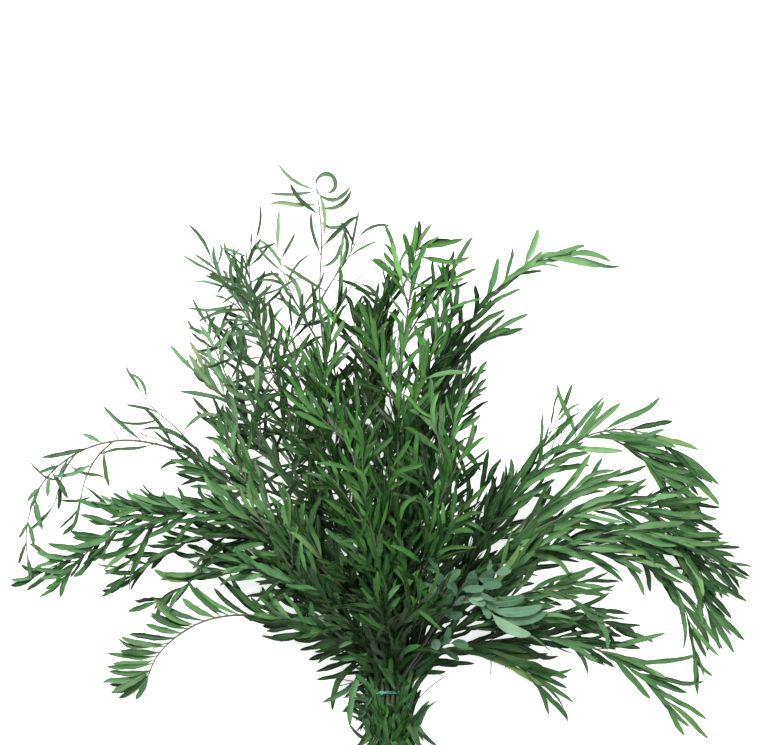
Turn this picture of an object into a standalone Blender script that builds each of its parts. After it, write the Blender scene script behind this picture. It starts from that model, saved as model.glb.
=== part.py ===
"""A tied bunch of willow-leaved eucalyptus, lying on a table.

Its leafy stems run side by side through one tie. The cut ends point to -Y and the tips to +Y,
where the stems fan out, and the bunch rests on z = 0. Lengths in this file are in millimetres,
from a point on the table right under the tie, and the meshes are written in metres.
"""

import math
import random

import bpy
import numpy as np
from mathutils import Vector
from mathutils.bvhtree import BVHTree

METRES = 0.001
UP = np.array((0.0, 0.0, 1.0))

# The bundle of stems inside the tie, in layers from the table up
LAYERS = (4, 5, 6, 5, 4)
PITCH = 5.8
LAYER_ANGLE = 60.0
GAP = 0.3

# Stems: the cut ends below the tie flare a little, and beyond the tie the stems stay side by
# side for a while, the outer and upper ones less, so that each turns away clear of the rest
STEM_RADIUS = 2.6
STEM_TIP_RADIUS = 0.9
CUT_LENGTH = 116.0
CUT_FLARE = 1.2
NECK_LENGTH = 45.0
NECK_FLARE = 1.05
BEFORE_TIE = 14.0
STRAIGHT = 25.0
TURN_SOONER = 0.5
TURN_RUN = 6.0
CUT_SHORTER = (0.94, 1.0)
OUTERMOST = 1.6

# The tie, a flat band of twine with a knot on top
TIE_THICKNESS = 2.2
TIE_WIDTH = 4.4
TIE_CORNERS = 24
TIE_SECTION = [(-1.0, -0.55), (-1.0, 0.55), (0.0, 1.0), (1.0, 0.55), (1.0, -0.55), (0.0, -1.0)]
KNOT_RADIUS = 3.0
KNOT_SIDES = 8
KNOT_CORNER = 6
KNOT_TURNS = (-40, 0, 40)

# Twigs
TWIG_RADIUS = 1.3
TWIG_TIP_RADIUS = 0.7
TWIGS_FROM = 0.3
TWIGS_TO = 0.95
TWIG_STEPS = 4
TWIG_PLACE = (0.15, 0.85)
TWIG_CLIMB = (-14.0, 18.0)
TWIG_LENGTHS = (0.75, 1.2)
TWIG_SHORTER = 0.75
TWIG_PULL = 0.22
TWIG_STRAIGHTENS = 0.04
WIDEST_REACH = 200.0
LOWEST_TWIG = 7.0
HIGHEST_TWIG = 150.0

# Leaves: they start this far up a stem, and the outer stems have more round the neck of the
# bunch. The solids hold every twentieth one, every seventh at the neck and every fourth in a comb.
LEAFY_FROM = 0.34
LEAF_EVERY = 20
COLLAR_FROM = 44.0
COLLAR_SPACING = 9.0
COLLAR_EVERY = 7
COMB_EVERY = 4
LEAF_RIB = 1.4
PETIOLE = 0.06
PETIOLE_HALF_WIDTH = 0.5
TIP_LEAF = 0.75
COLLAR_LEAF = 0.8
SMALLER_OUTWARD = 0.35
BARE_TWIG_ROOT = 14.0
BARE_TWIG_TIP = 9.0
CLEAR = 0.9
TRIES = 10

# How much the leaves vary, in radians: the usual and the greatest turn round the twig, roll and
# curl, then the greatest twist
AROUND = (0.5, 1.1)
ROLL = (0.6, 1.3)
CURL = (0.25, 0.6)
TWIST = 0.3
CURL_DOWN = -0.12
HANG = 0.4

# The same for leaves placed by hand, in degrees, and what a comb's leaves vary from its row by:
# millimetres along the stem, degrees of heading, share of the length and degrees of bend
HAND_RISE = 8.0
HAND_ROLL = 20.0
RISE_STEP = 5.0
COMB_VARIES = (2.0, 9.0, (0.75, 1.1), 14.0)

# Where the solids have a ring of corners: distances along a stem before and beyond the tie,
# then the number of rings to its tip, and fractions of the length of twigs and leaves
STEM_RINGS = (-15.0, 5.0, 18.0, 36.0, 60.0)
STEM_RINGS_BEYOND = 5
STEM_SIDES = 5
TWIG_SIDES = 3
TWIG_RINGS = (0.08, 0.5, 1.0)
LEAF_RINGS = (0.24, 0.66)
FREE_RINGS = (0.24, 0.42, 0.66, 0.84)

# Kinds of stem: leaf length and width, spread of the leaves from the twig in degrees, their usual
# and greatest sideways bend in radians, the space from leaf to leaf, length of the longest twigs,
# turn of the twigs from the stem in degrees, droop of the twigs and of the leaves towards -Y, and
# the lean of the leaves to the outer side
KINDS = {
    "slim": dict(
        leaf=(44, 66), width=(3.8, 5.6), spread=(30, 90), bend=(0.65, 1.3), spacing=9.4,
        twig=105, turn=(22, 48), droop=0.0, hang=-0.3, lean=0.0,
    ),
    "upright": dict(
        leaf=(42, 62), width=(4.6, 6.8), spread=(12, 54), bend=(0.45, 0.9), spacing=9.6,
        twig=110, turn=(12, 34), droop=0.0, hang=0.0, lean=0.0,
    ),
    "spray": dict(
        leaf=(54, 82), width=(5.2, 7.6), spread=(8, 32), bend=(0.38, 0.8), spacing=13.2,
        twig=120, turn=(12, 32), droop=0.7, hang=0.5, lean=0.15,
    ),
    "dense": dict(
        leaf=(42, 62), width=(5.0, 7.4), spread=(12, 42), bend=(0.45, 0.9), spacing=10.8,
        twig=105, turn=(14, 36), droop=0.3, hang=-0.5, lean=0.4,
    ),
    "pale": dict(
        leaf=(23, 33), width=(9.5, 12.5), spread=(20, 60), bend=(0.3, 0.6), spacing=12.0,
        twig=48, turn=(20, 45), droop=0.2, hang=0.0, lean=0.2,
    ),
}

# The stems, layer by layer from the table up and from left to right in each layer: the kind,
# the number of twigs by rule, the route beyond the tie, and branches placed by hand, each as a
# distance along the stem and a route. Leaves placed by hand are rows of the distance along the
# stem, or back from its tip where negative, the heading in degrees from +X, the length and the
# bend in degrees to the left. Combs are such leaves side by side: on the stem (0) or a branch
# (1 for the first), from and to these distances, how many, the first and last heading, the
# length and the bend.
STEMS = {
    "stem_upper_left": dict(
        kind="slim",
        twigs=7,
        route=[
            (-10, 103, 9), (-70, 224, 14), (-118, 323, 18), (-144, 400, 20), (-154, 436, 20),
            (-174, 470, 16),
        ],
        branches=[
            (480, [(-152, 440, 24), (-156, 474, 26), (-150, 498, 24)]),
            (400, [(-146, 330, 20), (-176, 376, 22), (-202, 406, 20)]),
            (530, [(-172, 436, 22), (-186, 458, 22), (-198, 478, 18)]),
        ],
    ),
    "stem_tall": dict(
        kind="slim",
        twigs=4,
        twigs_to=0.64,
        own=dict(spacing=14.0),
        leafy=(170, 490),
        route=[
            (-2, 103, 9), (-38, 235, 12), (-68, 345, 16), (-78, 433, 22), (-76, 505, 26), (-81, 558, 24),
        ],
        branches=[
            (500, [(-96, 416, 26), (-114, 452, 28), (-124, 486, 26)]),
            (556, [(-64, 455, 28), (-48, 478, 28), (-36, 502, 24)]),
        ],
        leaves=[
            (-1, 118, 52, -285), (-2, 172, 54, -52), (-3, 196, 54, -30), (-18, 180, 55, 4),
            (-30, 152, 50, -35), (-5, -50, 44, 120), (-22, -15, 46, 90), (-2, -62, 52, -40),
            (-38, -45, 32, 90), (-76, 114, 50, -25), (-68, 56, 56, -32), (-88, 10, 38, 70),
        ],
    ),
    "stem_upper_middle_back": dict(
        kind="upright",
        twigs=7,
        route=[(7, 103, 11), (0, 235, 12), (-18, 345, 16), (-16, 425, 16)],
    ),
    "stem_upper_right": dict(
        kind="spray",
        twigs=0,
        own=dict(leaf=(46, 70)),
        route=[
            (18, 103, 9), (26, 213, 12), (40, 313, 18), (60, 364, 22), (86, 406, 25), (116, 444, 28),
            (152, 473, 28), (184, 484, 22),
        ],
        branches=[
            (320, [(42, 250, 14), (66, 310, 15), (82, 346, 14)]),
            (400, [(50, 330, 22), (58, 376, 24), (68, 412, 24)]),
            (372, [(70, 362, 24), (92, 384, 26), (112, 398, 24)]),
        ],
        leaves=[
            (-1, -14, 74, 6), (-4, 6, 64, -22), (-12, -4, 60, -10), (-16, 24, 50, -14), (-40, 64, 46, 12),
            (-62, 40, 50, -6), (-96, 70, 50, 10), (-146, 26, 60, 12),
        ],
    ),
    "stem_left_arm": dict(
        kind="slim",
        twigs=0,
        own=dict(spacing=24.0),
        leafy=(150, 400),
        route=[
            (-48, 81, 20), (-132, 191, 30), (-193, 249, 38), (-242, 271, 42), (-297, 279, 40),
            (-347, 264, 32), (-386, 230, 22), (-404, 180, 14), (-403, 136, 8),
        ],
        branches=[
            (546, [(-322, 262, 36), (-338, 234, 24), (-346, 196, 14)]),
            (592, [(-360, 246, 28), (-368, 224, 18), (-374, 206, 12)]),
            (440, [(-232, 290, 48), (-262, 316, 44), (-274, 330, 38)]),
        ],
        leaves=[
            (514, 141, 58, -6), (558, 156, 42, 6), (575, 194, 54, -4), (499, 193, 62, -6),
            (478, 112, 58, 30), (440, 122, 66, 46), (455, 196, 40, 6), (420, 150, 56, -10),
            (600, 240, 28, 10), (614, 200, 24, 0), (630, 262, 26, 10), (648, 225, 22, 10),
            (662, 285, 32, -10), (692, 240, 20, 0), (714, 248, 26, 10), (730, 286, 28, -10),
        ],
    ),
    "stem_left_upper": dict(
        kind="slim",
        twigs=9,
        twigs_to=0.86,
        own=dict(width=(5.0, 7.0), spread=(20, 60), spacing=8.0),
        route=[(-21, 95, 30), (-98, 213, 38), (-158, 301, 42), (-186, 363, 38), (-200, 396, 30)],
    ),
    "stem_upper_middle": dict(
        kind="upright",
        twigs=8,
        route=[(4, 103, 30), (-8, 235, 40), (-24, 345, 46), (-14, 418, 48), (0, 452, 42)],
    ),
    "stem_upper_right_inner": dict(
        kind="upright",
        twigs=5,
        route=[(15, 92, 28), (28, 213, 40), (36, 301, 46), (42, 350, 46), (46, 384, 40)],
    ),
    "stem_right_top": dict(
        kind="spray",
        twigs=2,
        twigs_to=0.6,
        leafy=(200, 430),
        route=[
            (35, 81, 21), (104, 170, 34), (160, 240, 42), (196, 274, 48), (232, 289, 48), (268, 290, 42),
            (298, 277, 34), (314, 252, 26),
        ],
        branches=[
            (300, [(150, 246, 44), (172, 280, 42), (184, 304, 36)]),
            (490, [(272, 264, 44), (298, 236, 38), (322, 198, 30)]),
            (530, [(300, 250, 28), (318, 220, 20), (330, 174, 12)]),
        ],
        leaves=[
            (464, 108, 66, 4), (430, 52, 92, -6), (468, 46, 60, -8), (494, 32, 74, -2), (522, 8, 52, 4),
        ],
        combs=[
            (0, 450, 590, 8, (2, -36), 70, -6), (1, 10, 70, 5, (60, 40), 52, -4),
            (2, 15, 110, 9, (-6, -38), 58, -4), (3, 20, 90, 5, (-30, -66), 50, 0),
        ],
    ),
    "stem_left_low": dict(
        kind="spray",
        twigs=0,
        leafy=(160, 250),
        own=dict(leaf=(44, 60)),
        route=[
            (-42, 56, 22), (-84, 73, 28), (-121, 81, 32), (-168, 86, 32), (-205, 79, 27), (-238, 60, 20),
            (-260, 37, 14), (-270, 14, 9),
        ],
        branches=[
            (200, [(-110, 130, 40), (-154, 137, 38), (-209, 130, 30), (-232, 114, 24), (-258, 100, 16)]),
            (226, [(-118, 136, 50), (-158, 152, 46), (-204, 152, 38)]),
        ],
        leaves=[
            (156, 208, 74, 62), (126, 200, 40, 12), (154, 172, 34, 6), (112, 204, 44, 10),
            (150, 228, 80, 50), (-2, 252, 30, -20), (-6, 212, 48, -10), (-3, 224, 44, -10),
        ],
        combs=[
            (0, 140, 240, 10, (218, 184), 62, -20), (0, 255, 360, 9, (148, 168), 58, -42),
            (0, 365, 436, 12, (178, 198), 54, -26), (0, 438, 458, 4, (200, 212), 44, -8),
            (1, 60, 190, 9, (158, 190), 50, -26), (2, 20, 110, 7, (152, 172), 46, -16),
        ],
    ),
    "stem_left_middle": dict(
        kind="dense",
        twigs=8,
        route=[
            (-50, 84, 40), (-124, 174, 54), (-184, 208, 58), (-242, 206, 52), (-294, 188, 42),
            (-334, 156, 28), (-366, 120, 14),
        ],
        branches=[(330, [(-216, 170, 44), (-258, 148, 30), (-290, 124, 18)])],
        combs=[(0, 440, 600, 9, (166, 194), 48, -30)],
    ),
    "stem_centre_back": dict(
        kind="upright",
        twigs=6,
        route=[(-4, 103, 48), (-48, 220, 62), (-74, 304, 66), (-84, 356, 60)],
        branches=[
            (390, [(-72, 340, 74), (-66, 390, 68), (-58, 428, 58)]),
            (340, [(-76, 290, 72), (-98, 340, 68), (-108, 380, 58)]),
        ],
    ),
    "stem_right_upper": dict(
        kind="spray",
        twigs=4,
        route=[
            (43, 80, 42), (114, 152, 58), (179, 192, 66), (238, 206, 62), (284, 200, 52), (322, 172, 38),
            (346, 128, 22),
        ],
        branches=[(330, [(164, 200, 60), (204, 226, 60), (240, 238, 54)])],
        combs=[
            (0, 300, 480, 12, (36, 8), 80, -8), (0, 480, 590, 7, (0, -36), 64, -8),
            (1, 10, 100, 8, (32, 14), 68, -4),
        ],
    ),
    "stem_right_middle": dict(
        kind="spray",
        twigs=3,
        route=[
            (42, 62, 34), (118, 128, 46), (180, 164, 52), (236, 176, 48), (284, 170, 38), (326, 140, 26),
            (352, 92, 14),
        ],
        branches=[
            (400, [(284, 180, 58), (324, 166, 52), (358, 142, 40)]),
            (430, [(298, 138, 32), (326, 92, 24), (338, 40, 16)]),
        ],
        combs=[
            (0, 260, 440, 12, (20, 6), 76, -6), (0, 440, 570, 7, (-10, -48), 60, 0),
            (2, 30, 110, 6, (-56, -74), 44, 6),
        ],
    ),
    "stem_right_lower": dict(
        kind="spray",
        twigs=0,
        leafy=(200, 330),
        route=[(42, 38, 18), (119, 57, 26), (187, 60, 30), (242, 41, 26), (290, 6, 18), (321, -28, 10)],
        branches=[
            (186, [(104, 40, 18), (140, 29, 14), (164, 8, 10)]),
            (216, [(150, 80, 34), (212, 84, 34), (250, 72, 28)]),
        ],
        leaves=[
            (112, -58, 40, -20), (136, -6, 38, 10), (352, 10, 78, 8), (386, 0, 84, 12),
            (404, -14, 76, 10),
        ],
        combs=[
            (0, 140, 230, 7, (10, -4), 54, -6), (0, 150, 250, 6, (-4, -14), 54, 10),
            (0, 290, 450, 11, (14, -36), 62, -8), (0, 290, 450, 9, (-16, -58), 58, 4),
            (1, 16, 92, 11, (2, -22), 60, 4),
            (2, 30, 120, 7, (8, -24), 54, -6),
        ],
    ),
    "stem_left_front": dict(
        kind="dense",
        twigs=7,
        route=[
            (-40, 70, 56), (-98, 142, 78), (-156, 196, 84), (-212, 208, 74), (-256, 192, 58),
            (-286, 164, 44),
        ],
    ),
    "stem_front_left": dict(
        kind="dense",
        twigs=8,
        route=[(-20, 80, 58), (-82, 150, 88), (-144, 218, 100), (-178, 286, 98)],
    ),
    "stem_upper_inner": dict(
        kind="upright",
        twigs=7,
        route=[(8, 103, 62), (8, 235, 88), (10, 345, 96), (20, 430, 90), (28, 490, 80)],
        branches=[(400, [(34, 340, 98), (54, 410, 94), (68, 462, 84)])],
        leaves=[
            (-1, 6, 52, 8), (-10, -14, 60, 28), (-40, -20, 60, 50), (-60, 30, 50, 10),
            (-20, 100, 44, -20), (-34, 150, 42, -30), (-6, 40, 46, -40),
        ],
    ),
    "stem_right_centre": dict(
        kind="upright",
        twigs=6,
        route=[(23, 92, 58), (44, 191, 82), (56, 258, 90), (62, 296, 86)],
        branches=[(200, [(64, 150, 96), (92, 200, 104), (112, 240, 100)])],
        leaves=[(-1, -70, 60, 0), (-6, -50, 56, 0), (-14, -80, 56, 10), (-26, -58, 52, 0)],
    ),
    "stem_right_low": dict(
        kind="spray",
        twigs=4,
        route=[(47, 56, 50), (114, 100, 70), (164, 120, 76), (206, 126, 66)],
        combs=[(0, 220, 350, 9, (14, -6), 64, 4)],
    ),
    "stem_front_left_low": dict(
        kind="dense",
        twigs=7,
        route=[(-27, 62, 62), (-74, 106, 92), (-118, 160, 106), (-146, 206, 106)],
        combs=[(0, 170, 240, 4, (212, 190), 54, -20)],
    ),
    "stem_front_middle": dict(
        kind="upright",
        twigs=7,
        route=[(0, 81, 80), (-16, 169, 116), (-38, 257, 132), (-58, 323, 126)],
    ),
    "stem_front_right": dict(
        kind="upright",
        twigs=7,
        route=[(16, 81, 82), (38, 165, 120), (56, 245, 136), (70, 310, 130)],
    ),
    "stem_pale": dict(
        kind="pale",
        twigs=3,
        twigs_to=0.9,
        leafy=(222, 300),
        bare_neck=True,
        route=[(36, 56, 60), (54, 88, 84), (80, 110, 96), (101, 106, 98), (112, 90, 92)],
        branches=[
            (226, [(56, 112, 104), (52, 140, 116), (47, 160, 118)]),
            (250, [(78, 124, 106), (96, 134, 106), (112, 138, 102)]),
        ],
        leaves=[
            (-1, -18, 60, 50), (-12, -22, 60, 52), (-24, -12, 48, 40), (-6, -58, 50, 60),
            (-40, 84, 34, -20),
        ],
    ),
}

GREENS = {
    "slim": (0.045, 0.115, 0.040),
    "upright": (0.040, 0.140, 0.035),
    "spray": (0.035, 0.105, 0.045),
    "dense": (0.040, 0.120, 0.045),
    "pale": (0.120, 0.230, 0.140),
}
TIE_COLOUR = (0.05, 0.42, 0.30)


def unit(vector):
    """The vector made one long."""
    return vector / np.linalg.norm(vector)


def smooth_route(knots, per_span=8):
    """Points along one smooth curve through the knots, a centripetal Catmull-Rom curve."""
    knots = [np.array(knot, float) for knot in knots]
    knots = [2 * knots[0] - knots[1], *knots, 2 * knots[-1] - knots[-2]]
    points = []
    for a, b, c, d in zip(knots, knots[1:], knots[2:], knots[3:]):
        tb = np.linalg.norm(b - a) ** 0.5
        tc = tb + np.linalg.norm(c - b) ** 0.5
        td = tc + np.linalg.norm(d - c) ** 0.5
        for t in np.linspace(tb, tc, per_span, endpoint=False):
            ab = a + (b - a) * t / tb
            bc = b + (c - b) * (t - tb) / (tc - tb)
            cd = c + (d - c) * (t - tc) / (td - tc)
            abc = ab + (bc - ab) * t / tc
            bcd = bc + (cd - bc) * (t - tb) / (td - tb)
            points.append(abc + (bcd - abc) * (t - tb) / (tc - tb))
    points.append(knots[-2])
    return np.array(points)


class Axis:
    """The middle line of a stem or twig, with its radius at both ends and the rings of its solid."""

    def __init__(self, name, knots, thick, thin, even=0.0):
        self.name = name
        self.points = smooth_route(knots)
        steps = np.linalg.norm(np.diff(self.points, axis=0), axis=1)
        self.arc = np.concatenate(([0.0], np.cumsum(steps)))
        self.length = self.arc[-1]
        self.thick = thick
        self.thin = thin
        self.even = even
        self.rings = np.array(TWIG_RINGS) * self.length
        self.anchor = self.points[0]

    def at(self, distance):
        """The point this far along."""
        return np.array([np.interp(distance, self.arc, self.points[:, k]) for k in range(3)])

    def inside(self, distance):
        """The point this far along that lies in its solid, on the straight run between two rings."""
        middles = np.array([self.at(ring) for ring in self.rings])
        return np.array([np.interp(distance, self.rings, middles[:, k]) for k in range(3)])

    def ahead(self, distance):
        """The way it grows this far along."""
        return unit(self.at(distance + 2.0) - self.at(distance - 2.0))

    def radius(self, distance):
        """Half its thickness this far along: even at first, then thinner to the tip."""
        taper = max(0.0, distance - self.even) / (self.length - self.even)
        return self.thick + (self.thin - self.thick) * taper

    def frame(self, distance):
        """The way it grows, the way to its right along the table, and the way over it."""
        ahead = self.ahead(distance)
        across = unit(np.cross(ahead, UP))
        return ahead, across, np.cross(across, ahead)


class Leaf:
    """One leaf: where it grows, the way it points and faces, its size and its bends."""

    def __init__(self, axis, distance, along, side, length, width, bend, curl, twist):
        self.root = axis.at(distance)
        self.anchor = axis.inside(distance)
        self.along = along
        self.side = side
        self.length = length
        self.width = width
        self.bend = bend
        self.curl = curl
        self.twist = twist
        self.lift = 0.0

    def line(self, fractions):
        """Its middle line at these fractions of its length, with the ways across it and out of it."""
        grid = np.linspace(0.0, 1.0, 25)
        out = np.cross(self.side, self.along)
        bend = (self.bend * grid)[:, None]
        curl = (self.curl * grid)[:, None]
        ahead = np.cos(curl) * (np.cos(bend) * self.along + np.sin(bend) * self.side) + np.sin(curl) * out
        middle = np.cumsum((ahead[1:] + ahead[:-1]) / 2, axis=0) * self.length / (len(grid) - 1)
        middle = self.root + np.concatenate((np.zeros((1, 3)), middle))
        middle = middle + np.outer(grid, UP) * self.lift
        flat = np.cos(bend) * self.side - np.sin(bend) * self.along
        proud = np.cross(flat, ahead)
        twist = (self.twist * grid)[:, None]
        side = np.cos(twist) * flat + np.sin(twist) * proud
        face = np.cos(twist) * proud - np.sin(twist) * flat
        return [np.column_stack([np.interp(fractions, grid, column) for column in table.T])
                for table in (middle, side, face)]

    def half_width(self, fraction):
        """Half its width, at this fraction of its length."""
        blade = max(0.0, (fraction - PETIOLE) / (1.0 - PETIOLE))
        half = self.width / 2 * math.sin(math.pi * blade**0.9) ** 0.5
        return max(PETIOLE_HALF_WIDTH * (1.0 - fraction), half)


def slots():
    """Each stem's place inside the tie, layer by layer from the table up."""
    places = []
    lowest = TIE_THICKNESS + GAP + STEM_RADIUS
    for layer, count in enumerate(LAYERS):
        for column in range(count):
            x = (column - (count - 1) / 2) * PITCH
            places.append((x, lowest + layer * PITCH * math.sin(math.radians(LAYER_ANGLE))))
    return places


def outward_from_bundle(place):
    """The way out of the bundle from a stem in its outer layer, or zeros inside it."""
    places = np.array(slots())
    offset = np.array(place) - places.mean(axis=0)
    if np.linalg.norm(offset) < OUTERMOST * PITCH:
        return np.zeros(3)
    return unit(np.array((offset[0], 0.0, max(offset[1], 0.0) + 2.0)))


def stem_axis(name, place, route):
    """A stem's middle line, from its cut end through the tie and along its route."""
    x, z = place
    drop = TIE_THICKNESS + GAP
    cut = CUT_LENGTH * random.Random(name).uniform(*CUT_SHORTER)
    turn = STRAIGHT - TURN_SOONER * (abs(x) + z)
    bundled = [
        (x * CUT_FLARE, -cut, z - drop), (x * NECK_FLARE, -NECK_LENGTH, z - drop / 2),
        (x, -BEFORE_TIE, z), (x, turn - TURN_RUN, z), (x, turn, z),
    ]
    axis = Axis(name, bundled + list(route), STEM_RADIUS, STEM_TIP_RADIUS, even=CUT_LENGTH)
    near = cut + np.array(STEM_RINGS)
    beyond = np.linspace(near[-1], axis.length, STEM_RINGS_BEYOND + 1)[1:]
    axis.rings = np.concatenate(([0.0], near, beyond))
    return axis


def twig_from(stem, start, name, route):
    """A twig's middle line, from this far along its stem and through the route's points."""
    twig = Axis(name, [stem.at(start), *route], TWIG_RADIUS, TWIG_TIP_RADIUS)
    twig.anchor = stem.inside(start)
    return twig


def twig_axis(stem, number, attempt, kind, count, twigs_to):
    """A twig that leaves the stem to one side by rule, with its own seeded draw."""
    draw = random.Random(f"{stem.name}/twig/{number}/{attempt}")
    side = 1 if number % 2 else -1
    place = TWIGS_FROM + (twigs_to - TWIGS_FROM) * (number + draw.uniform(*TWIG_PLACE)) / count
    start = place * stem.length
    ahead, across, over = stem.frame(start)
    turn = math.radians(draw.uniform(*kind["turn"]))
    climb = math.radians(draw.uniform(*TWIG_CLIMB))
    length = kind["twig"] * (1.25 - TWIG_SHORTER * place) * draw.uniform(*TWIG_LENGTHS)
    heading = math.cos(turn) * ahead + math.sin(turn) * side * across + math.sin(climb) * over
    pull = np.array((0.0, -TWIG_PULL * kind["droop"], 0.0)) * reach_out(stem.at(start))
    point = stem.at(start)
    route = []
    for _ in range(TWIG_STEPS):
        heading = unit(heading + pull + TWIG_STRAIGHTENS * ahead)
        point = point + heading * length / TWIG_STEPS
        point[2] = min(max(point[2], LOWEST_TWIG), HIGHEST_TWIG)
        route.append(point)
    return twig_from(stem, start, f"{stem.name}/{number}", route)


def reach_out(point):
    """How far out to the side a point is, from 0 in the middle to 1 where the side sprays are."""
    return min(1.0, abs(point[0]) / WIDEST_REACH)


def limited_gauss(draw, middle, limits):
    """A normal draw of the usual size that stays within the greatest one of its middle."""
    usual, greatest = limits
    return middle + min(max(draw.gauss(0.0, usual), -greatest), greatest)


def leaf_on(axis, number, attempt, distance, side, kind, size, outward=None):
    """A leaf that leaves the axis to one side, or ahead where side is 0, flat enough to show from above."""
    draw = random.Random(f"{axis.name}/leaf/{number}/{attempt}")
    root = axis.at(distance)
    ahead, across, over = axis.frame(distance)
    around = limited_gauss(draw, 0.0, AROUND)
    sideways = (side or 1) * across if outward is None else outward
    outward = math.cos(around) * sideways + math.sin(around) * np.cross(ahead, sideways) * (side or 1)
    spread = math.radians(draw.uniform(*kind["spread"])) * (1.0 if side else 0.2)
    along = math.cos(spread) * ahead + math.sin(spread) * outward
    reach = reach_out(root)
    lean = kind["lean"] * reach * abs(side)
    along = unit(along + lean * np.array((math.copysign(1.0, root[0]), 0.0, 0.0)))
    flat = unit(np.cross(along, UP))
    roll = limited_gauss(draw, 0.0, ROLL) * (1.0 if side else 0.5)
    width_way = math.cos(roll) * flat + math.sin(roll) * np.cross(flat, along)
    hang = HANG * kind["hang"] * reach
    bend = limited_gauss(draw, -hang * width_way[1], kind["bend"])
    curl = limited_gauss(draw, CURL_DOWN - hang * np.cross(width_way, along)[1], CURL)
    length = draw.uniform(*kind["leaf"]) * size
    width = draw.uniform(*kind["width"]) * (0.4 + 0.6 * size)
    return Leaf(axis, distance, along, width_way, length, width, bend, curl, draw.uniform(-TWIST, TWIST))


def leaf_by_hand(axis, number, attempt, kind, distance, heading, length, bend):
    """A leaf that points and bends as its row in the table says."""
    draw = random.Random(f"{axis.name}/hand/{number}/{attempt}")
    rise = math.radians(draw.uniform(-HAND_RISE, HAND_RISE) + RISE_STEP * attempt * (-1) ** attempt)
    angle = math.radians(heading)
    along = np.array((math.cos(angle) * math.cos(rise), math.sin(angle) * math.cos(rise), math.sin(rise)))
    flat = unit(np.cross(along, UP))
    roll = math.radians(draw.uniform(-HAND_ROLL, HAND_ROLL))
    width_way = math.cos(roll) * flat + math.sin(roll) * np.cross(flat, along)
    width = draw.uniform(*kind["width"])
    return Leaf(axis, distance, along, width_way, length, width, -math.radians(bend), 0.0, 0.0)


def comb_rows(start, end, count, headings, length, bend):
    """Rows for leaves side by side, that vary a little in place, heading, length and bend."""
    first, last = headings
    shift, turn, sizes, more_bend = COMB_VARIES
    for number in range(count):
        draw = random.Random(f"{start}/{end}/{number}")
        share = number / (count - 1)
        distance = start + (end - start) * share + draw.uniform(-shift, shift)
        heading = first + (last - first) * share + draw.uniform(-turn, turn)
        yield distance, heading, length * draw.uniform(*sizes), bend + draw.uniform(-more_bend, more_bend)


def spots_along(axis, start, end, spacing, has_tip):
    """Places for leaves, in turn on the two sides of an axis: number, distance, side and size."""
    count = max(1, round((end - start) / spacing))
    for number in range(count + 1):
        distance = start + (end - start) * number / count
        side = 0 if has_tip and number == count else (1 if number % 2 else -1)
        yield number, distance, side, 1.0 - SMALLER_OUTWARD * (distance / axis.length) ** 2


def strand_shape(rings, start=None, end=None):
    """Corners and faces of a closed body through rings of corners, each end a point or a flat face."""
    sides = len(rings[0])
    corners = np.concatenate(rings)
    faces = []
    for first in range(0, len(corners) - sides, sides):
        for k in range(sides):
            a = first + k
            b = first + (k + 1) % sides
            faces += [(a, b, b + sides), (a, b + sides, a + sides)]
    last = len(corners) - sides
    if start is None:
        faces.append(tuple(reversed(range(sides))))
    else:
        faces += [(len(corners), (k + 1) % sides, k) for k in range(sides)]
        corners = np.vstack((corners, start))
    if end is None:
        faces.append(tuple(range(last, last + sides)))
    else:
        faces += [(last + k, last + (k + 1) % sides, len(corners)) for k in range(sides)]
        corners = np.vstack((corners, end))
    return corners, faces


def ring_round(axis, distance, sides, margin=0.0):
    """A ring of corners round the axis, this far along."""
    _, across, over = axis.frame(distance)
    angles = 2 * math.pi * (np.arange(sides) - 0.5) / sides
    spokes = np.outer(np.cos(angles), over) + np.outer(np.sin(angles), across)
    return axis.at(distance) + (axis.radius(distance) + margin) * spokes


def stem_shape(axis, margin=0.0):
    """A stem as a closed tube with flat ends."""
    return strand_shape([ring_round(axis, distance, STEM_SIDES, margin) for distance in axis.rings])


def leaf_rings(leaf, margin=0.0, fractions=LEAF_RINGS):
    """Rings of a leaf's blade: its two edges and the rib under it."""
    rings = []
    for fraction, middle, side, face in zip(fractions, *leaf.line(fractions)):
        half = leaf.half_width(fraction) + margin
        top = middle + face * margin
        rings.append(np.array((top - side * half, top + side * half, middle - face * (LEAF_RIB + margin))))
    return rings


def leaf_tip(leaf, margin=0.0):
    """The leaf's point."""
    (before, tip), _, _ = leaf.line((0.95, 1.0))
    return tip + unit(tip - before) * margin


def leaf_shape(leaf, margin=0.0):
    """A leaf as a closed blade with a point at both ends, the root one inside what it grows from."""
    return strand_shape(leaf_rings(leaf, margin), leaf.anchor, leaf_tip(leaf, margin))


def free_end(leaf, margin):
    """The outer three quarters of a leaf, away from what it grows from."""
    return strand_shape(leaf_rings(leaf, margin, FREE_RINGS), end=leaf_tip(leaf, margin))


def twig_shape(twig, leaf, margin=0.0):
    """A twig and the leaf at its tip as one closed body, with a point for a root."""
    rings = [ring_round(twig, distance, TWIG_SIDES, margin) for distance in twig.rings]
    return strand_shape(rings + leaf_rings(leaf, margin), twig.anchor, leaf_tip(leaf, margin))


def raise_leaf(leaf):
    """Bends a leaf that would reach below the table up, until it just rests on it."""
    corners = np.concatenate((*leaf_rings(leaf), [leaf_tip(leaf)]))
    fractions = np.append(np.repeat(LEAF_RINGS, 3), 1.0)
    leaf.lift = max(0.0, float(np.max(-corners[:, 2] / fractions)))


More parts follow.
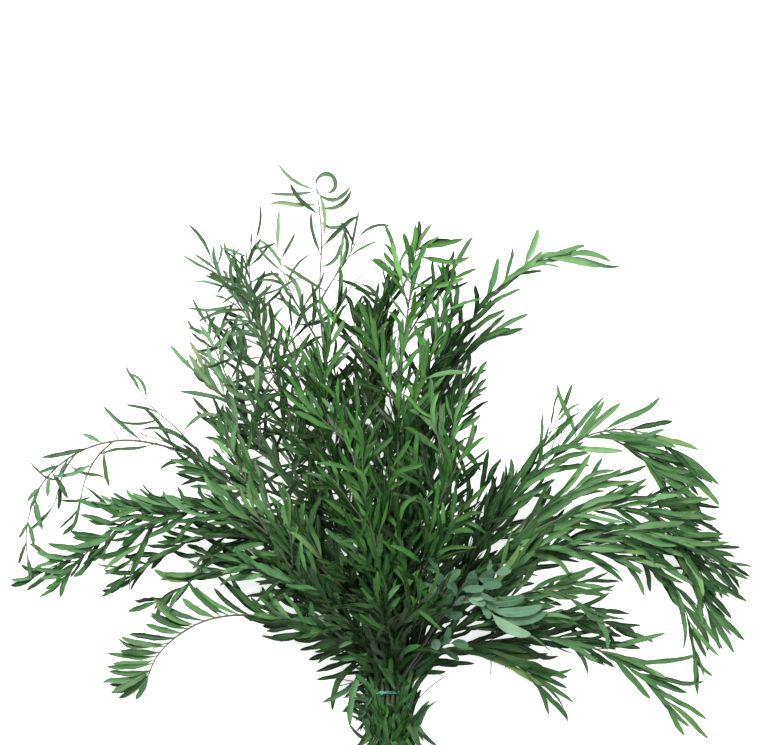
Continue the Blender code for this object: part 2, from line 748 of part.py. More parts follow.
class Crowd:
    """The shapes placed so far, so that the next one can be kept clear of them."""

    def __init__(self):
        self.trees = []
        self.owners = []
        self.lows = np.zeros((0, 3))
        self.highs = np.zeros((0, 3))

    def add(self, owner, shape):
        corners, faces = shape
        self.trees.append(BVHTree.FromPolygons(corners.tolist(), faces))
        self.owners.append(owner)
        self.lows = np.vstack((self.lows, corners.min(axis=0)))
        self.highs = np.vstack((self.highs, corners.max(axis=0)))

    def is_clear(self, shape, root=None):
        """True where this shape meets no placed shape but the one it grows from."""
        corners, faces = shape
        low_enough = (self.lows <= corners.max(axis=0)).all(axis=1)
        high_enough = (self.highs >= corners.min(axis=0)).all(axis=1)
        near = [k for k in np.flatnonzero(low_enough & high_enough) if self.owners[k] != root]
        if not near:
            return True
        tree = BVHTree.FromPolygons(corners.tolist(), faces)
        return not any(tree.overlap(self.trees[k]) for k in near)


class Stem:
    """A leafy stem: its own line, its twigs with the leaf at the tip of each, and its other leaves."""

    def __init__(self, name, place):
        self.name = name
        self.table = STEMS[name]
        self.kind = {**KINDS[self.table["kind"]], **self.table.get("own", {})}
        self.axis = stem_axis(name, place, self.table["route"])
        self.outward = outward_from_bundle(place)
        self.spacing = self.kind["spacing"]
        self.branches = []
        self.twigs = []
        self.leaves = []

    def grow_twigs(self, crowd):
        """Branches by hand and twigs by rule, tried again where they would meet another."""
        for number, (start, route) in enumerate(self.table.get("branches", ())):
            branch = twig_from(self.axis, start, f"{self.name}/branch/{number}", route)
            self.branches.append(branch)
            self.place_twig(crowd, lambda attempt: branch)
        count = self.table["twigs"]
        twigs_to = self.table.get("twigs_to", TWIGS_TO)
        for number in range(count):
            self.place_twig(crowd, lambda attempt: twig_axis(
                self.axis, number, attempt, self.kind, count, twigs_to))

    def place_twig(self, crowd, route_of):
        for attempt in range(TRIES):
            twig = route_of(attempt)
            leaf = leaf_on(twig, "tip", attempt, twig.length, 0, self.kind, TIP_LEAF)
            raise_leaf(leaf)
            if crowd.is_clear(twig_shape(twig, leaf, CLEAR), root=self.axis.name):
                crowd.add(twig.name, twig_shape(twig, leaf))
                self.twigs.append((twig, leaf))
                return

    def rows_by_hand(self):
        """Each leaf of the table: what it grows on, whether the solid holds it, and its row."""
        for distance, *row in self.table.get("leaves", ()):
            yield self.axis, True, (distance if distance > 0 else self.axis.length + distance, *row)
        for place, *comb in self.table.get("combs", ()):
            axis = [self.axis, *self.branches][place]
            for number, (distance, *row) in enumerate(comb_rows(*comb)):
                yield axis, number % COMB_EVERY == 0, (min(distance, axis.length - 2.0), *row)

    def collar_spots(self):
        """Places round the neck of the bunch, on the stems that are outermost in the tie."""
        if self.table.get("bare_neck") or not self.outward.any():
            return
        end = LEAFY_FROM * self.axis.length - 8.0
        count = round((end - COLLAR_FROM) / COLLAR_SPACING)
        for number in range(count + 1):
            yield number, COLLAR_FROM + (end - COLLAR_FROM) * number / count, 1 if number % 2 else -1

    def leafy_runs(self):
        """The stem and its twigs, with the stretch of each that has leaves."""
        start, end = self.table.get("leafy", (LEAFY_FROM * self.axis.length, self.axis.length))
        yield self.axis, start, end - 3.0
        for twig, _ in self.twigs:
            yield twig, BARE_TWIG_ROOT, twig.length - BARE_TWIG_TIP

    def grow_leaves(self, crowd):
        """The leaves that the solid holds."""
        for number, (axis, solid, row) in enumerate(self.rows_by_hand()):
            if solid:
                self.place_leaf(crowd, axis, lambda attempt: leaf_by_hand(
                    axis, number, attempt, self.kind, *row))
        for number, distance, side in self.collar_spots():
            if number % COLLAR_EVERY == 1:
                self.place_leaf(crowd, self.axis, lambda attempt: leaf_on(
                    self.axis, f"collar{number}", attempt, distance, side, self.kind, COLLAR_LEAF,
                    self.outward))
        for axis, start, end in self.leafy_runs():
            spots = spots_along(axis, start, end, self.spacing, axis is self.axis)
            for number, distance, side, size in spots:
                if number % LEAF_EVERY == 2 or side == 0:
                    self.place_leaf(crowd, axis, lambda attempt: leaf_on(
                        axis, number, attempt, distance, side, self.kind, size))

    def place_leaf(self, crowd, axis, leaf_of):
        for attempt in range(TRIES):
            leaf = leaf_of(attempt)
            raise_leaf(leaf)
            clear = crowd.is_clear(leaf_shape(leaf, CLEAR), root=axis.name)
            if clear and crowd.is_clear(free_end(leaf, CLEAR)):
                crowd.add(self.name, leaf_shape(leaf))
                self.leaves.append(leaf)
                return


def grow_bunch():
    """All the stems with their twigs and leaves."""
    crowd = Crowd()
    crowd.add("tie", tie_shape())
    crowd.add("tie", knot_shape())
    stems = [Stem(name, place) for name, place in zip(STEMS, slots())]
    for stem in stems:
        crowd.add(stem.axis.name, stem_shape(stem.axis))
    for stem in stems:
        stem.grow_twigs(crowd)
    for stem in stems:
        stem.grow_leaves(crowd)
    return stems


def mesh_object(name, shape, material=None, collection=None):
    """A Blender object from corners in millimetres and their faces."""
    corners, faces = shape
    mesh = bpy.data.meshes.new(name)
    mesh.from_pydata([tuple(corner * METRES) for corner in corners], [], faces)
    mesh.update()
    thing = bpy.data.objects.new(name, mesh)
    (collection or bpy.context.scene.collection).objects.link(thing)
    if material:
        mesh.materials.append(material)
    return thing


def join(thing, shapes):
    """Fuses these shapes into the object, by one Boolean union on a collection."""
    pieces = bpy.data.collections.new("repeats")
    bpy.context.scene.collection.children.link(pieces)
    for shape in shapes:
        mesh_object("repeat", shape, collection=pieces)
    union = thing.modifiers.new("union", "BOOLEAN")
    union.operation = "UNION"
    union.operand_type = "COLLECTION"
    union.collection = pieces
    union.solver = "MANIFOLD"
    bpy.context.view_layer.update()
    evaluated = thing.evaluated_get(bpy.context.evaluated_depsgraph_get())
    fused = bpy.data.meshes.new_from_object(evaluated)
    thing.modifiers.clear()
    thing.data = fused
    for piece in list(pieces.objects):
        bpy.data.objects.remove(piece)
    bpy.data.collections.remove(pieces)


def plain_material(name, colour, roughness):
    """A Principled material of one colour."""
    material = bpy.data.materials.new(name)
    material.use_nodes = True
    shader = material.node_tree.nodes["Principled BSDF"]
    shader.inputs["Base Color"].default_value = (*colour, 1.0)
    shader.inputs["Roughness"].default_value = roughness
    shader.inputs["Metallic"].default_value = 0.0
    return material


def build_stem(stem, material):
    """One leafy stem as a single closed body."""
    thing = mesh_object(stem.name, stem_shape(stem.axis), material)
    shapes = [twig_shape(twig, leaf) for twig, leaf in stem.twigs]
    shapes += [leaf_shape(leaf) for leaf in stem.leaves]
    join(thing, shapes)
    return thing


def tie_line():
    """The tie's middle line: round the outermost stems at one distance from them."""
    places = np.array(slots())
    reach = STEM_RADIUS + GAP + TIE_THICKNESS / 2
    line = []
    for k in range(TIE_CORNERS):
        angle = 2 * math.pi * (k + 0.5) / TIE_CORNERS
        way = np.array((math.cos(angle), math.sin(angle)))
        x, z = places[np.argmax(places @ way)] + way * reach
        line.append((np.array((x, 0.0, z)), np.array((way[0], 0.0, way[1]))))
    return line


def tie_shape():
    """The tie's band, closed round the bundle, with rounded edges."""
    corners = []
    faces = []
    for centre, outward in tie_line():
        for out, along in TIE_SECTION:
            offset = np.array((0.0, along * TIE_WIDTH / 2, 0.0))
            corners.append(centre + outward * out * TIE_THICKNESS / 2 + offset)
    sides = len(TIE_SECTION)
    total = len(corners)
    for ring in range(TIE_CORNERS):
        for k in range(sides):
            a = ring * sides + k
            b = ring * sides + (k + 1) % sides
            faces.append((a, (a + sides) % total, (b + sides) % total, b))
    return np.array(corners), faces


def knot_shape():
    """The tie's knot, a lump on top of the band."""
    centre, outward = tie_line()[KNOT_CORNER]
    middle = centre + outward * (KNOT_RADIUS - TIE_THICKNESS / 2)
    rings = []
    for turn in KNOT_TURNS:
        offset = np.array((0.0, KNOT_RADIUS * math.sin(math.radians(turn)), 0.0))
        across = KNOT_RADIUS * math.cos(math.radians(turn))
        angles = 2 * math.pi * (np.arange(KNOT_SIDES) + 0.5) / KNOT_SIDES
        circle = np.column_stack((np.cos(angles), 0 * angles, -np.sin(angles)))
        rings.append(middle + offset + across * circle)
    return strand_shape(rings)


def build_tie(material):
    """The tie: its band and knot as one closed body."""
    thing = mesh_object("tie_band", tie_shape(), material)
    join(thing, [knot_shape()])
    return thing


def stand_on_origin(things):
    """Moves the whole bunch so that the middle of its box lies over the origin, resting on z = 0."""
    corners = [vertex.co for thing in things for vertex in thing.data.vertices]
    low = Vector([min(corner[k] for corner in corners) for k in range(3)])
    high = Vector([max(corner[k] for corner in corners) for k in range(3)])
    for thing in things:
        thing.location = (-(low.x + high.x) / 2, -(low.y + high.y) / 2, -low.z)


def main():
    for thing in list(bpy.data.objects):
        bpy.data.objects.remove(thing)
    leaf_greens = {kind: plain_material(f"leaf {kind}", colour, 0.55) for kind, colour in GREENS.items()}
    things = [build_stem(stem, leaf_greens[stem.table["kind"]]) for stem in grow_bunch()]
    things.append(build_tie(plain_material("tie twine", TIE_COLOUR, 0.6)))
    stand_on_origin(things)


main()
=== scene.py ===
"""The looks of a tied bunch of willow-leaved eucalyptus, lying on a table.

The stems, twigs and leaves grow here by the same rules and seeds as in the part's solids, so that
each fine leafy stem keeps the form of the node that it stands for. Lengths are in millimetres,
from a point on the table right under the tie, and the meshes are written in metres.
"""

import math
import random

import bpy
import numpy as np
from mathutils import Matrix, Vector
from mathutils.bvhtree import BVHTree


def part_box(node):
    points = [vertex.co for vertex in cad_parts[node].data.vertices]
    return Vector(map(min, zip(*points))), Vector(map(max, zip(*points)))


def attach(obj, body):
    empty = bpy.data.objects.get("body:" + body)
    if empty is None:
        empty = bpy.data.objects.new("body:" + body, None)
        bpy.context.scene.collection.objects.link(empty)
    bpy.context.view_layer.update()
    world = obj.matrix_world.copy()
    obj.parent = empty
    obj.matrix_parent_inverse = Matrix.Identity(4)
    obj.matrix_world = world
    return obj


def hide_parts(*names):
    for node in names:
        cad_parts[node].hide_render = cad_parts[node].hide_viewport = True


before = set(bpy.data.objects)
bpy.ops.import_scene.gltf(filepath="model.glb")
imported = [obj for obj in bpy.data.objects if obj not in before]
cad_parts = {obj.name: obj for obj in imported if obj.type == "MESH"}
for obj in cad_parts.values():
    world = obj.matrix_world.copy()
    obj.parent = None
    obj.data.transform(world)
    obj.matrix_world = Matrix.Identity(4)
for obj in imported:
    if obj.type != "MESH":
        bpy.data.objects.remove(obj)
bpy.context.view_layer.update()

METRES = 0.001
UP = np.array((0.0, 0.0, 1.0))
ALONG_X = np.array((1.0, 0.0, 0.0))
ALONG_Y = np.array((0.0, 1.0, 0.0))

# The bundle of stems inside the tie, in layers from the table up
LAYERS = (4, 5, 6, 5, 4)
PITCH = 5.8
LAYER_ANGLE = 60.0
GAP = 0.3

# Stems: the cut ends below the tie flare a little, and beyond the tie the stems stay side by
# side for a while, the outer and upper ones less, so that each turns away clear of the rest
STEM_RADIUS = 2.6
STEM_TIP_RADIUS = 0.9
CUT_LENGTH = 116.0
CUT_FLARE = 1.2
NECK_LENGTH = 45.0
NECK_FLARE = 1.05
BEFORE_TIE = 14.0
STRAIGHT = 25.0
TURN_SOONER = 0.5
TURN_RUN = 6.0
CUT_SHORTER = (0.94, 1.0)
OUTERMOST = 1.6
OUTWARD_RISE = 2.0

# The tie, a flat band of twine with a knot on top
TIE_THICKNESS = 2.2
TIE_WIDTH = 4.4
TIE_CORNERS = 24
TIE_SECTION = [(-1.0, -0.55), (-1.0, 0.55), (0.0, 1.0), (1.0, 0.55), (1.0, -0.55), (0.0, -1.0)]
KNOT_RADIUS = 3.0
KNOT_SIDES = 8
KNOT_CORNER = 6
KNOT_TURNS = (-40, 0, 40)

# Twigs
TWIG_RADIUS = 1.3
TWIG_TIP_RADIUS = 0.7
TWIGS_FROM = 0.3
TWIGS_TO = 0.95
TWIG_STEPS = 4
TWIG_PLACE = (0.15, 0.85)
TWIG_CLIMB = (-14.0, 18.0)
TWIG_LENGTHS = (0.75, 1.2)
TWIG_LONGEST = 1.25
TWIG_SHORTER = 0.75
TWIG_PULL = 0.22
TWIG_STRAIGHTENS = 0.04
WIDEST_REACH = 200.0
LOWEST_TWIG = 7.0
HIGHEST_TWIG = 150.0

# Leaves: they start this far up a stem, and the outer stems have more round the neck of the
# bunch. The solids hold every twentieth one, every seventh at the neck and every fourth in a comb.
# A leaf's outline has powers for where it is widest and for how full it is.
LEAFY_FROM = 0.34
LEAF_EVERY = 20
COLLAR_FROM = 44.0
COLLAR_SPACING = 9.0
COLLAR_EVERY = 7
COLLAR_SHORT = 8.0
COMB_SHORT = 2.0
LEAFY_SHORT = 3.0
COMB_EVERY = 4
LEAF_RIB = 1.4
PETIOLE = 0.06
PETIOLE_HALF_WIDTH = 0.5
TIP_LEAF = 0.75
TIP_SPREAD = 0.2
TIP_ROLL = 0.5
COLLAR_LEAF = 0.8
SMALLER_OUTWARD = 0.35
SMALL_WIDTH = 0.4
LEAF_GRID = 25
LEAF_OUTLINE = (0.9, 0.5)
NEAR_TIP = 0.95
AHEAD_STEP = 2.0
BARE_TWIG_ROOT = 14.0
BARE_TWIG_TIP = 9.0
CLEAR = 0.9
TRIES = 10

# How much the leaves vary, in radians: the usual and the greatest turn round the twig, roll and
# curl, then the greatest twist
AROUND = (0.5, 1.1)
ROLL = (0.6, 1.3)
CURL = (0.25, 0.6)
TWIST = 0.3
CURL_DOWN = -0.12
HANG = 0.4

# The same for leaves placed one by one, in degrees, and what a comb's leaves vary from its row by:
# millimetres along the stem, degrees of heading, share of the length and degrees of bend
HAND_RISE = 8.0
HAND_ROLL = 20.0
RISE_STEP = 5.0
COMB_VARIES = (2.0, 9.0, (0.75, 1.1), 14.0)

# Where the solids have a ring of corners: distances along a stem before and beyond the tie,
# then the number of rings to its tip, and fractions of the length of twigs and leaves
STEM_RINGS = (-15.0, 5.0, 18.0, 36.0, 60.0)
STEM_RINGS_BEYOND = 5
STEM_SIDES = 5
TWIG_SIDES = 3
TWIG_RINGS = (0.08, 0.5, 1.0)
LEAF_RINGS = (0.24, 0.66)
FREE_RINGS = (0.24, 0.42, 0.66, 0.84)

# Kinds of stem: leaf length and width, spread of the leaves from the twig in degrees, their usual
# and greatest sideways bend in radians, the space from leaf to leaf, length of the longest twigs,
# turn of the twigs from the stem in degrees, droop of the twigs and of the leaves towards -Y, and
# the lean of the leaves to the outer side
KINDS = {
    "slim": dict(
        leaf=(44, 66), width=(3.8, 5.6), spread=(30, 90), bend=(0.65, 1.3), spacing=9.4,
        twig=105, turn=(22, 48), droop=0.0, hang=-0.3, lean=0.0,
    ),
    "upright": dict(
        leaf=(42, 62), width=(4.6, 6.8), spread=(12, 54), bend=(0.45, 0.9), spacing=9.6,
        twig=110, turn=(12, 34), droop=0.0, hang=0.0, lean=0.0,
    ),
    "spray": dict(
        leaf=(54, 82), width=(5.2, 7.6), spread=(8, 32), bend=(0.38, 0.8), spacing=13.2,
        twig=120, turn=(12, 32), droop=0.7, hang=0.5, lean=0.15,
    ),
    "dense": dict(
        leaf=(42, 62), width=(5.0, 7.4), spread=(12, 42), bend=(0.45, 0.9), spacing=10.8,
        twig=105, turn=(14, 36), droop=0.3, hang=-0.5, lean=0.4,
    ),
    "pale": dict(
        leaf=(23, 33), width=(9.5, 12.5), spread=(20, 60), bend=(0.3, 0.6), spacing=12.0,
        twig=48, turn=(20, 45), droop=0.2, hang=0.0, lean=0.2,
    ),
}

# The stems, layer by layer from the table up and from left to right in each layer: the kind,
# the number of twigs by rule, the route beyond the tie, and branches given one by one, each as a
# distance along the stem and a route. Leaves given one by one are rows of the distance along the
# stem, or back from its tip where negative, the heading in degrees from +X, the length and the
# bend in degrees to the left.
# (1 for the first), from and to these distances, how many, the first and last heading, the
# length and the bend.
STEMS = {
    "stem_upper_left": dict(
        kind="slim", twigs=7,
        route=[(-10, 103, 9), (-70, 224, 14), (-118, 323, 18), (-144, 400, 20), (-154, 436, 20),
               (-174, 470, 16)],
        branches=[(480, [(-152, 440, 24), (-156, 474, 26), (-150, 498, 24)]),
                  (400, [(-146, 330, 20), (-176, 376, 22), (-202, 406, 20)]),
                  (530, [(-172, 436, 22), (-186, 458, 22), (-198, 478, 18)])],
    ),
    "stem_tall": dict(
        kind="slim", twigs=4, twigs_to=0.64, own=dict(spacing=14.0), leafy=(170, 490),
        route=[(-2, 103, 9), (-38, 235, 12), (-68, 345, 16), (-78, 433, 22), (-76, 505, 26),
               (-81, 558, 24)],
        branches=[(500, [(-96, 416, 26), (-114, 452, 28), (-124, 486, 26)]),
                  (556, [(-64, 455, 28), (-48, 478, 28), (-36, 502, 24)])],
        leaves=[(-1, 118, 52, -285), (-2, 172, 54, -52), (-3, 196, 54, -30), (-18, 180, 55, 4),
                (-30, 152, 50, -35), (-5, -50, 44, 120), (-22, -15, 46, 90), (-2, -62, 52, -40),
                (-38, -45, 32, 90), (-76, 114, 50, -25), (-68, 56, 56, -32), (-88, 10, 38, 70)],
    ),
    "stem_upper_middle_back": dict(
        kind="upright", twigs=7,
        route=[(7, 103, 11), (0, 235, 12), (-18, 345, 16), (-16, 425, 16)],
    ),
    "stem_upper_right": dict(
        kind="spray", twigs=0, own=dict(leaf=(46, 70)),
        route=[(18, 103, 9), (26, 213, 12), (40, 313, 18), (60, 364, 22), (86, 406, 25), (116, 444, 28),
               (152, 473, 28), (184, 484, 22)],
        branches=[(320, [(42, 250, 14), (66, 310, 15), (82, 346, 14)]),
                  (400, [(50, 330, 22), (58, 376, 24), (68, 412, 24)]),
                  (372, [(70, 362, 24), (92, 384, 26), (112, 398, 24)])],
        leaves=[(-1, -14, 74, 6), (-4, 6, 64, -22), (-12, -4, 60, -10), (-16, 24, 50, -14),
                (-40, 64, 46, 12), (-62, 40, 50, -6), (-96, 70, 50, 10), (-146, 26, 60, 12)],
    ),
    "stem_left_arm": dict(
        kind="slim", twigs=0, own=dict(spacing=24.0), leafy=(150, 400),
        route=[(-48, 81, 20), (-132, 191, 30), (-193, 249, 38), (-242, 271, 42), (-297, 279, 40),
               (-347, 264, 32), (-386, 230, 22), (-404, 180, 14), (-403, 136, 8)],
        branches=[(546, [(-322, 262, 36), (-338, 234, 24), (-346, 196, 14)]),
                  (592, [(-360, 246, 28), (-368, 224, 18), (-374, 206, 12)]),
                  (440, [(-232, 290, 48), (-262, 316, 44), (-274, 330, 38)])],
        leaves=[(514, 141, 58, -6), (558, 156, 42, 6), (575, 194, 54, -4), (499, 193, 62, -6),
                (478, 112, 58, 30), (440, 122, 66, 46), (455, 196, 40, 6), (420, 150, 56, -10),
                (600, 240, 28, 10), (614, 200, 24, 0), (630, 262, 26, 10), (648, 225, 22, 10),
                (662, 285, 32, -10), (692, 240, 20, 0), (714, 248, 26, 10), (730, 286, 28, -10)],
    ),
    "stem_left_upper": dict(
        kind="slim", twigs=9, twigs_to=0.86, own=dict(width=(5.0, 7.0), spread=(20, 60), spacing=8.0),
        route=[(-21, 95, 30), (-98, 213, 38), (-158, 301, 42), (-186, 363, 38), (-200, 396, 30)],
    ),
    "stem_upper_middle": dict(
        kind="upright", twigs=8,
        route=[(4, 103, 30), (-8, 235, 40), (-24, 345, 46), (-14, 418, 48), (0, 452, 42)],
    ),
    "stem_upper_right_inner": dict(
        kind="upright", twigs=5,
        route=[(15, 92, 28), (28, 213, 40), (36, 301, 46), (42, 350, 46), (46, 384, 40)],
    ),
    "stem_right_top": dict(
        kind="spray", twigs=2, twigs_to=0.6, leafy=(200, 430),
        route=[(35, 81, 21), (104, 170, 34), (160, 240, 42), (196, 274, 48), (232, 289, 48), (268, 290, 42),
               (298, 277, 34), (314, 252, 26)],
        branches=[(300, [(150, 246, 44), (172, 280, 42), (184, 304, 36)]),
                  (490, [(272, 264, 44), (298, 236, 38), (322, 198, 30)]),
                  (530, [(300, 250, 28), (318, 220, 20), (330, 174, 12)])],
        leaves=[(464, 108, 66, 4), (430, 52, 92, -6), (468, 46, 60, -8), (494, 32, 74, -2),
                (522, 8, 52, 4)],
        combs=[(0, 450, 590, 8, (2, -36), 70, -6), (1, 10, 70, 5, (60, 40), 52, -4),
               (2, 15, 110, 9, (-6, -38), 58, -4), (3, 20, 90, 5, (-30, -66), 50, 0)],
    ),
    "stem_left_low": dict(
        kind="spray", twigs=0, leafy=(160, 250), own=dict(leaf=(44, 60)),
        route=[(-42, 56, 22), (-84, 73, 28), (-121, 81, 32), (-168, 86, 32), (-205, 79, 27), (-238, 60, 20),
               (-260, 37, 14), (-270, 14, 9)],
        branches=[
            (200, [(-110, 130, 40), (-154, 137, 38), (-209, 130, 30), (-232, 114, 24), (-258, 100, 16)]),
            (226, [(-118, 136, 50), (-158, 152, 46), (-204, 152, 38)]),
        ],
        leaves=[(156, 208, 74, 62), (126, 200, 40, 12), (154, 172, 34, 6), (112, 204, 44, 10),
                (150, 228, 80, 50), (-2, 252, 30, -20), (-6, 212, 48, -10), (-3, 224, 44, -10)],
        combs=[(0, 140, 240, 10, (218, 184), 62, -20), (0, 255, 360, 9, (148, 168), 58, -42),
               (0, 365, 436, 12, (178, 198), 54, -26), (0, 438, 458, 4, (200, 212), 44, -8),
               (1, 60, 190, 9, (158, 190), 50, -26), (2, 20, 110, 7, (152, 172), 46, -16)],
    ),
    "stem_left_middle": dict(
        kind="dense", twigs=8,
        route=[(-50, 84, 40), (-124, 174, 54), (-184, 208, 58), (-242, 206, 52), (-294, 188, 42),
               (-334, 156, 28), (-366, 120, 14)],
        branches=[(330, [(-216, 170, 44), (-258, 148, 30), (-290, 124, 18)])],
        combs=[(0, 440, 600, 9, (166, 194), 48, -30)],
    ),
    "stem_centre_back": dict(
        kind="upright", twigs=6,
        route=[(-4, 103, 48), (-48, 220, 62), (-74, 304, 66), (-84, 356, 60)],
        branches=[(390, [(-72, 340, 74), (-66, 390, 68), (-58, 428, 58)]),
                  (340, [(-76, 290, 72), (-98, 340, 68), (-108, 380, 58)])],
    ),
    "stem_right_upper": dict(
        kind="spray", twigs=4,
        route=[(43, 80, 42), (114, 152, 58), (179, 192, 66), (238, 206, 62), (284, 200, 52), (322, 172, 38),
               (346, 128, 22)],
        branches=[(330, [(164, 200, 60), (204, 226, 60), (240, 238, 54)])],
        combs=[(0, 300, 480, 12, (36, 8), 80, -8), (0, 480, 590, 7, (0, -36), 64, -8),
               (1, 10, 100, 8, (32, 14), 68, -4)],
    ),
    "stem_right_middle": dict(
        kind="spray", twigs=3,
        route=[(42, 62, 34), (118, 128, 46), (180, 164, 52), (236, 176, 48), (284, 170, 38), (326, 140, 26),
               (352, 92, 14)],
        branches=[(400, [(284, 180, 58), (324, 166, 52), (358, 142, 40)]),
                  (430, [(298, 138, 32), (326, 92, 24), (338, 40, 16)])],
        combs=[(0, 260, 440, 12, (20, 6), 76, -6), (0, 440, 570, 7, (-10, -48), 60, 0),
               (2, 30, 110, 6, (-56, -74), 44, 6)],
    ),
    "stem_right_lower": dict(
        kind="spray", twigs=0, leafy=(200, 330),
        route=[(42, 38, 18), (119, 57, 26), (187, 60, 30), (242, 41, 26), (290, 6, 18), (321, -28, 10)],
        branches=[(186, [(104, 40, 18), (140, 29, 14), (164, 8, 10)]),
                  (216, [(150, 80, 34), (212, 84, 34), (250, 72, 28)])],
        leaves=[(112, -58, 40, -20), (136, -6, 38, 10), (352, 10, 78, 8), (386, 0, 84, 12),
                (404, -14, 76, 10)],
        combs=[(0, 140, 230, 7, (10, -4), 54, -6), (0, 150, 250, 6, (-4, -14), 54, 10),
               (0, 290, 450, 11, (14, -36), 62, -8), (0, 290, 450, 9, (-16, -58), 58, 4),
               (1, 16, 92, 11, (2, -22), 60, 4), (2, 30, 120, 7, (8, -24), 54, -6)],
    ),
    "stem_left_front": dict(
        kind="dense", twigs=7,
        route=[(-40, 70, 56), (-98, 142, 78), (-156, 196, 84), (-212, 208, 74), (-256, 192, 58),
               (-286, 164, 44)],
    ),
    "stem_front_left": dict(
        kind="dense", twigs=8,
        route=[(-20, 80, 58), (-82, 150, 88), (-144, 218, 100), (-178, 286, 98)],
    ),
    "stem_upper_inner": dict(
        kind="upright", twigs=7,
        route=[(8, 103, 62), (8, 235, 88), (10, 345, 96), (20, 430, 90), (28, 490, 80)],
        branches=[(400, [(34, 340, 98), (54, 410, 94), (68, 462, 84)])],
        leaves=[(-1, 6, 52, 8), (-10, -14, 60, 28), (-40, -20, 60, 50), (-60, 30, 50, 10),
                (-20, 100, 44, -20), (-34, 150, 42, -30), (-6, 40, 46, -40)],
    ),
    "stem_right_centre": dict(
        kind="upright", twigs=6,
        route=[(23, 92, 58), (44, 191, 82), (56, 258, 90), (62, 296, 86)],
        branches=[(200, [(64, 150, 96), (92, 200, 104), (112, 240, 100)])],
        leaves=[(-1, -70, 60, 0), (-6, -50, 56, 0), (-14, -80, 56, 10), (-26, -58, 52, 0)],
    ),
    "stem_right_low": dict(
        kind="spray", twigs=4,
        route=[(47, 56, 50), (114, 100, 70), (164, 120, 76), (206, 126, 66)],
        combs=[(0, 220, 350, 9, (14, -6), 64, 4)],
    ),
    "stem_front_left_low": dict(
        kind="dense", twigs=7,
        route=[(-27, 62, 62), (-74, 106, 92), (-118, 160, 106), (-146, 206, 106)],
        combs=[(0, 170, 240, 4, (212, 190), 54, -20)],
    ),
    "stem_front_middle": dict(
        kind="upright", twigs=7,
        route=[(0, 81, 80), (-16, 169, 116), (-38, 257, 132), (-58, 323, 126)],
    ),
    "stem_front_right": dict(
        kind="upright", twigs=7,
        route=[(16, 81, 82), (38, 165, 120), (56, 245, 136), (70, 310, 130)],
    ),
    "stem_pale": dict(
        kind="pale", twigs=3, twigs_to=0.9, leafy=(222, 300), bare_neck=True,
        route=[(36, 56, 60), (54, 88, 84), (80, 110, 96), (101, 106, 98), (112, 90, 92)],
        branches=[(226, [(56, 112, 104), (52, 140, 116), (47, 160, 118)]),
                  (250, [(78, 124, 106), (96, 134, 106), (112, 138, 102)])],
        leaves=[(-1, -18, 60, 50), (-12, -22, 60, 52), (-24, -12, 48, 40), (-6, -58, 50, 60),
                (-40, 84, 34, -20)],
    ),
}

# The places of its materials on a leafy stem
LEAF, BARK, WOOD = range(3)

# Fine leaves: fractions of a leaf's length with a ring of corners, and that ring from one edge
# over the top to the other edge and back underneath, as shares of its half width and in mm
LEAF_STATIONS = np.array((0.0, 0.05, 0.12, 0.21, 0.32, 0.44, 0.56, 0.68, 0.79, 0.88, 0.95, 1.0))
ACROSS = np.array((-1.0, -0.55, 0.0, 0.55, 1.0, 0.55, 0.0, -0.55))
BLADE_RISE = np.array((0.0, 0.16, 0.05, 0.16, 0.0, -0.16, -0.42, -0.16))
PETIOLE_RISE = np.array((0.0, 0.4, 0.55, 0.4, 0.0, -0.4, -0.55, -0.4))
LEAF_SIDES = len(ACROSS)
TIGHT_BEND = 2.5
TIGHT_STATIONS = 34
LOWEST = 0.15

# The outline of a fine leaf: how far its blade widens and from where it narrows, as shares of the
# blade with the powers that round both, and the petiole's half width, which shrinks along it
BLADE_FROM = 0.05
WIDENS = (0.44, 0.8)
NARROWS = (0.5, 2.8, 0.62)
PETIOLE_SHRINKS = (1.2, 2.0)
PETIOLE_TO = 0.12
TIP_HALF_WIDTH = 0.3

# How much fine leaves vary: turns of the sideways wave and its reach, the usual arch, the fold
# along the rib, then turns and heights of the waved edges, and turns and depth of their notches.
# Leaves wider than the calm width have less of the last three.
SWAY = (0.7, 1.2)
MEANDER = 0.028
ARCH = 0.03
FOLD = (0.04, 0.4)
BLADE_THINS = 1.2
EDGE_TURNS = (1.5, 3.2)
EDGE_HEIGHT = (0.1, 0.14)
NOTCH_TURNS = (2.0, 4.0)
NOTCH_DEPTH = 0.1
CALM_WIDTH = 7.6
WAVE_STARTS = (0.0, 6.28)

# Bark and the bare wood of the cut ends
STEM_STEP = 8.0
FEWEST_STEPS = 4
BARK_SIDES = 8
TWIG_BARK_SIDES = 6
TWIG_BARK_FROM = 0.6
BARK_VARIES = (0.94, 1.08)
SLENDER = 0.3
CUT_RADIUS = 0.84
CUT_DEPTH = (-0.25, 1.0)

# Leaves that cover the stems from above, and the ones that hang round the neck: how steeply they
# leave the stem in degrees, how far they lean and roll in radians, and their sizes
COVER = 1.6
COVER_SIZE = (0.95, 0.3)
CLOSE_SPREAD = (4.0, 26.0)
LEAN = 0.9
NECK_LEAVES = 24
NECK_FEWER = 0.6
NECK_FROM = 34.0
NECK_TO = 176.0
NECK_OVERHANG = 8.0
NECK_SIDEWAYS = 0.6
NECK_HANGING = 0.65
NECK_LENGTHS = (0.55, 1.0)
NECK_BEND = 0.8
NECK_CURL = (-0.5, 0.1)

# Only leaves of the solids may lie over the top of the tie: half the sides of this window, its height
TIE_WINDOW = (13.0, 2.4)
TIE_WINDOW_FROM = 18.0
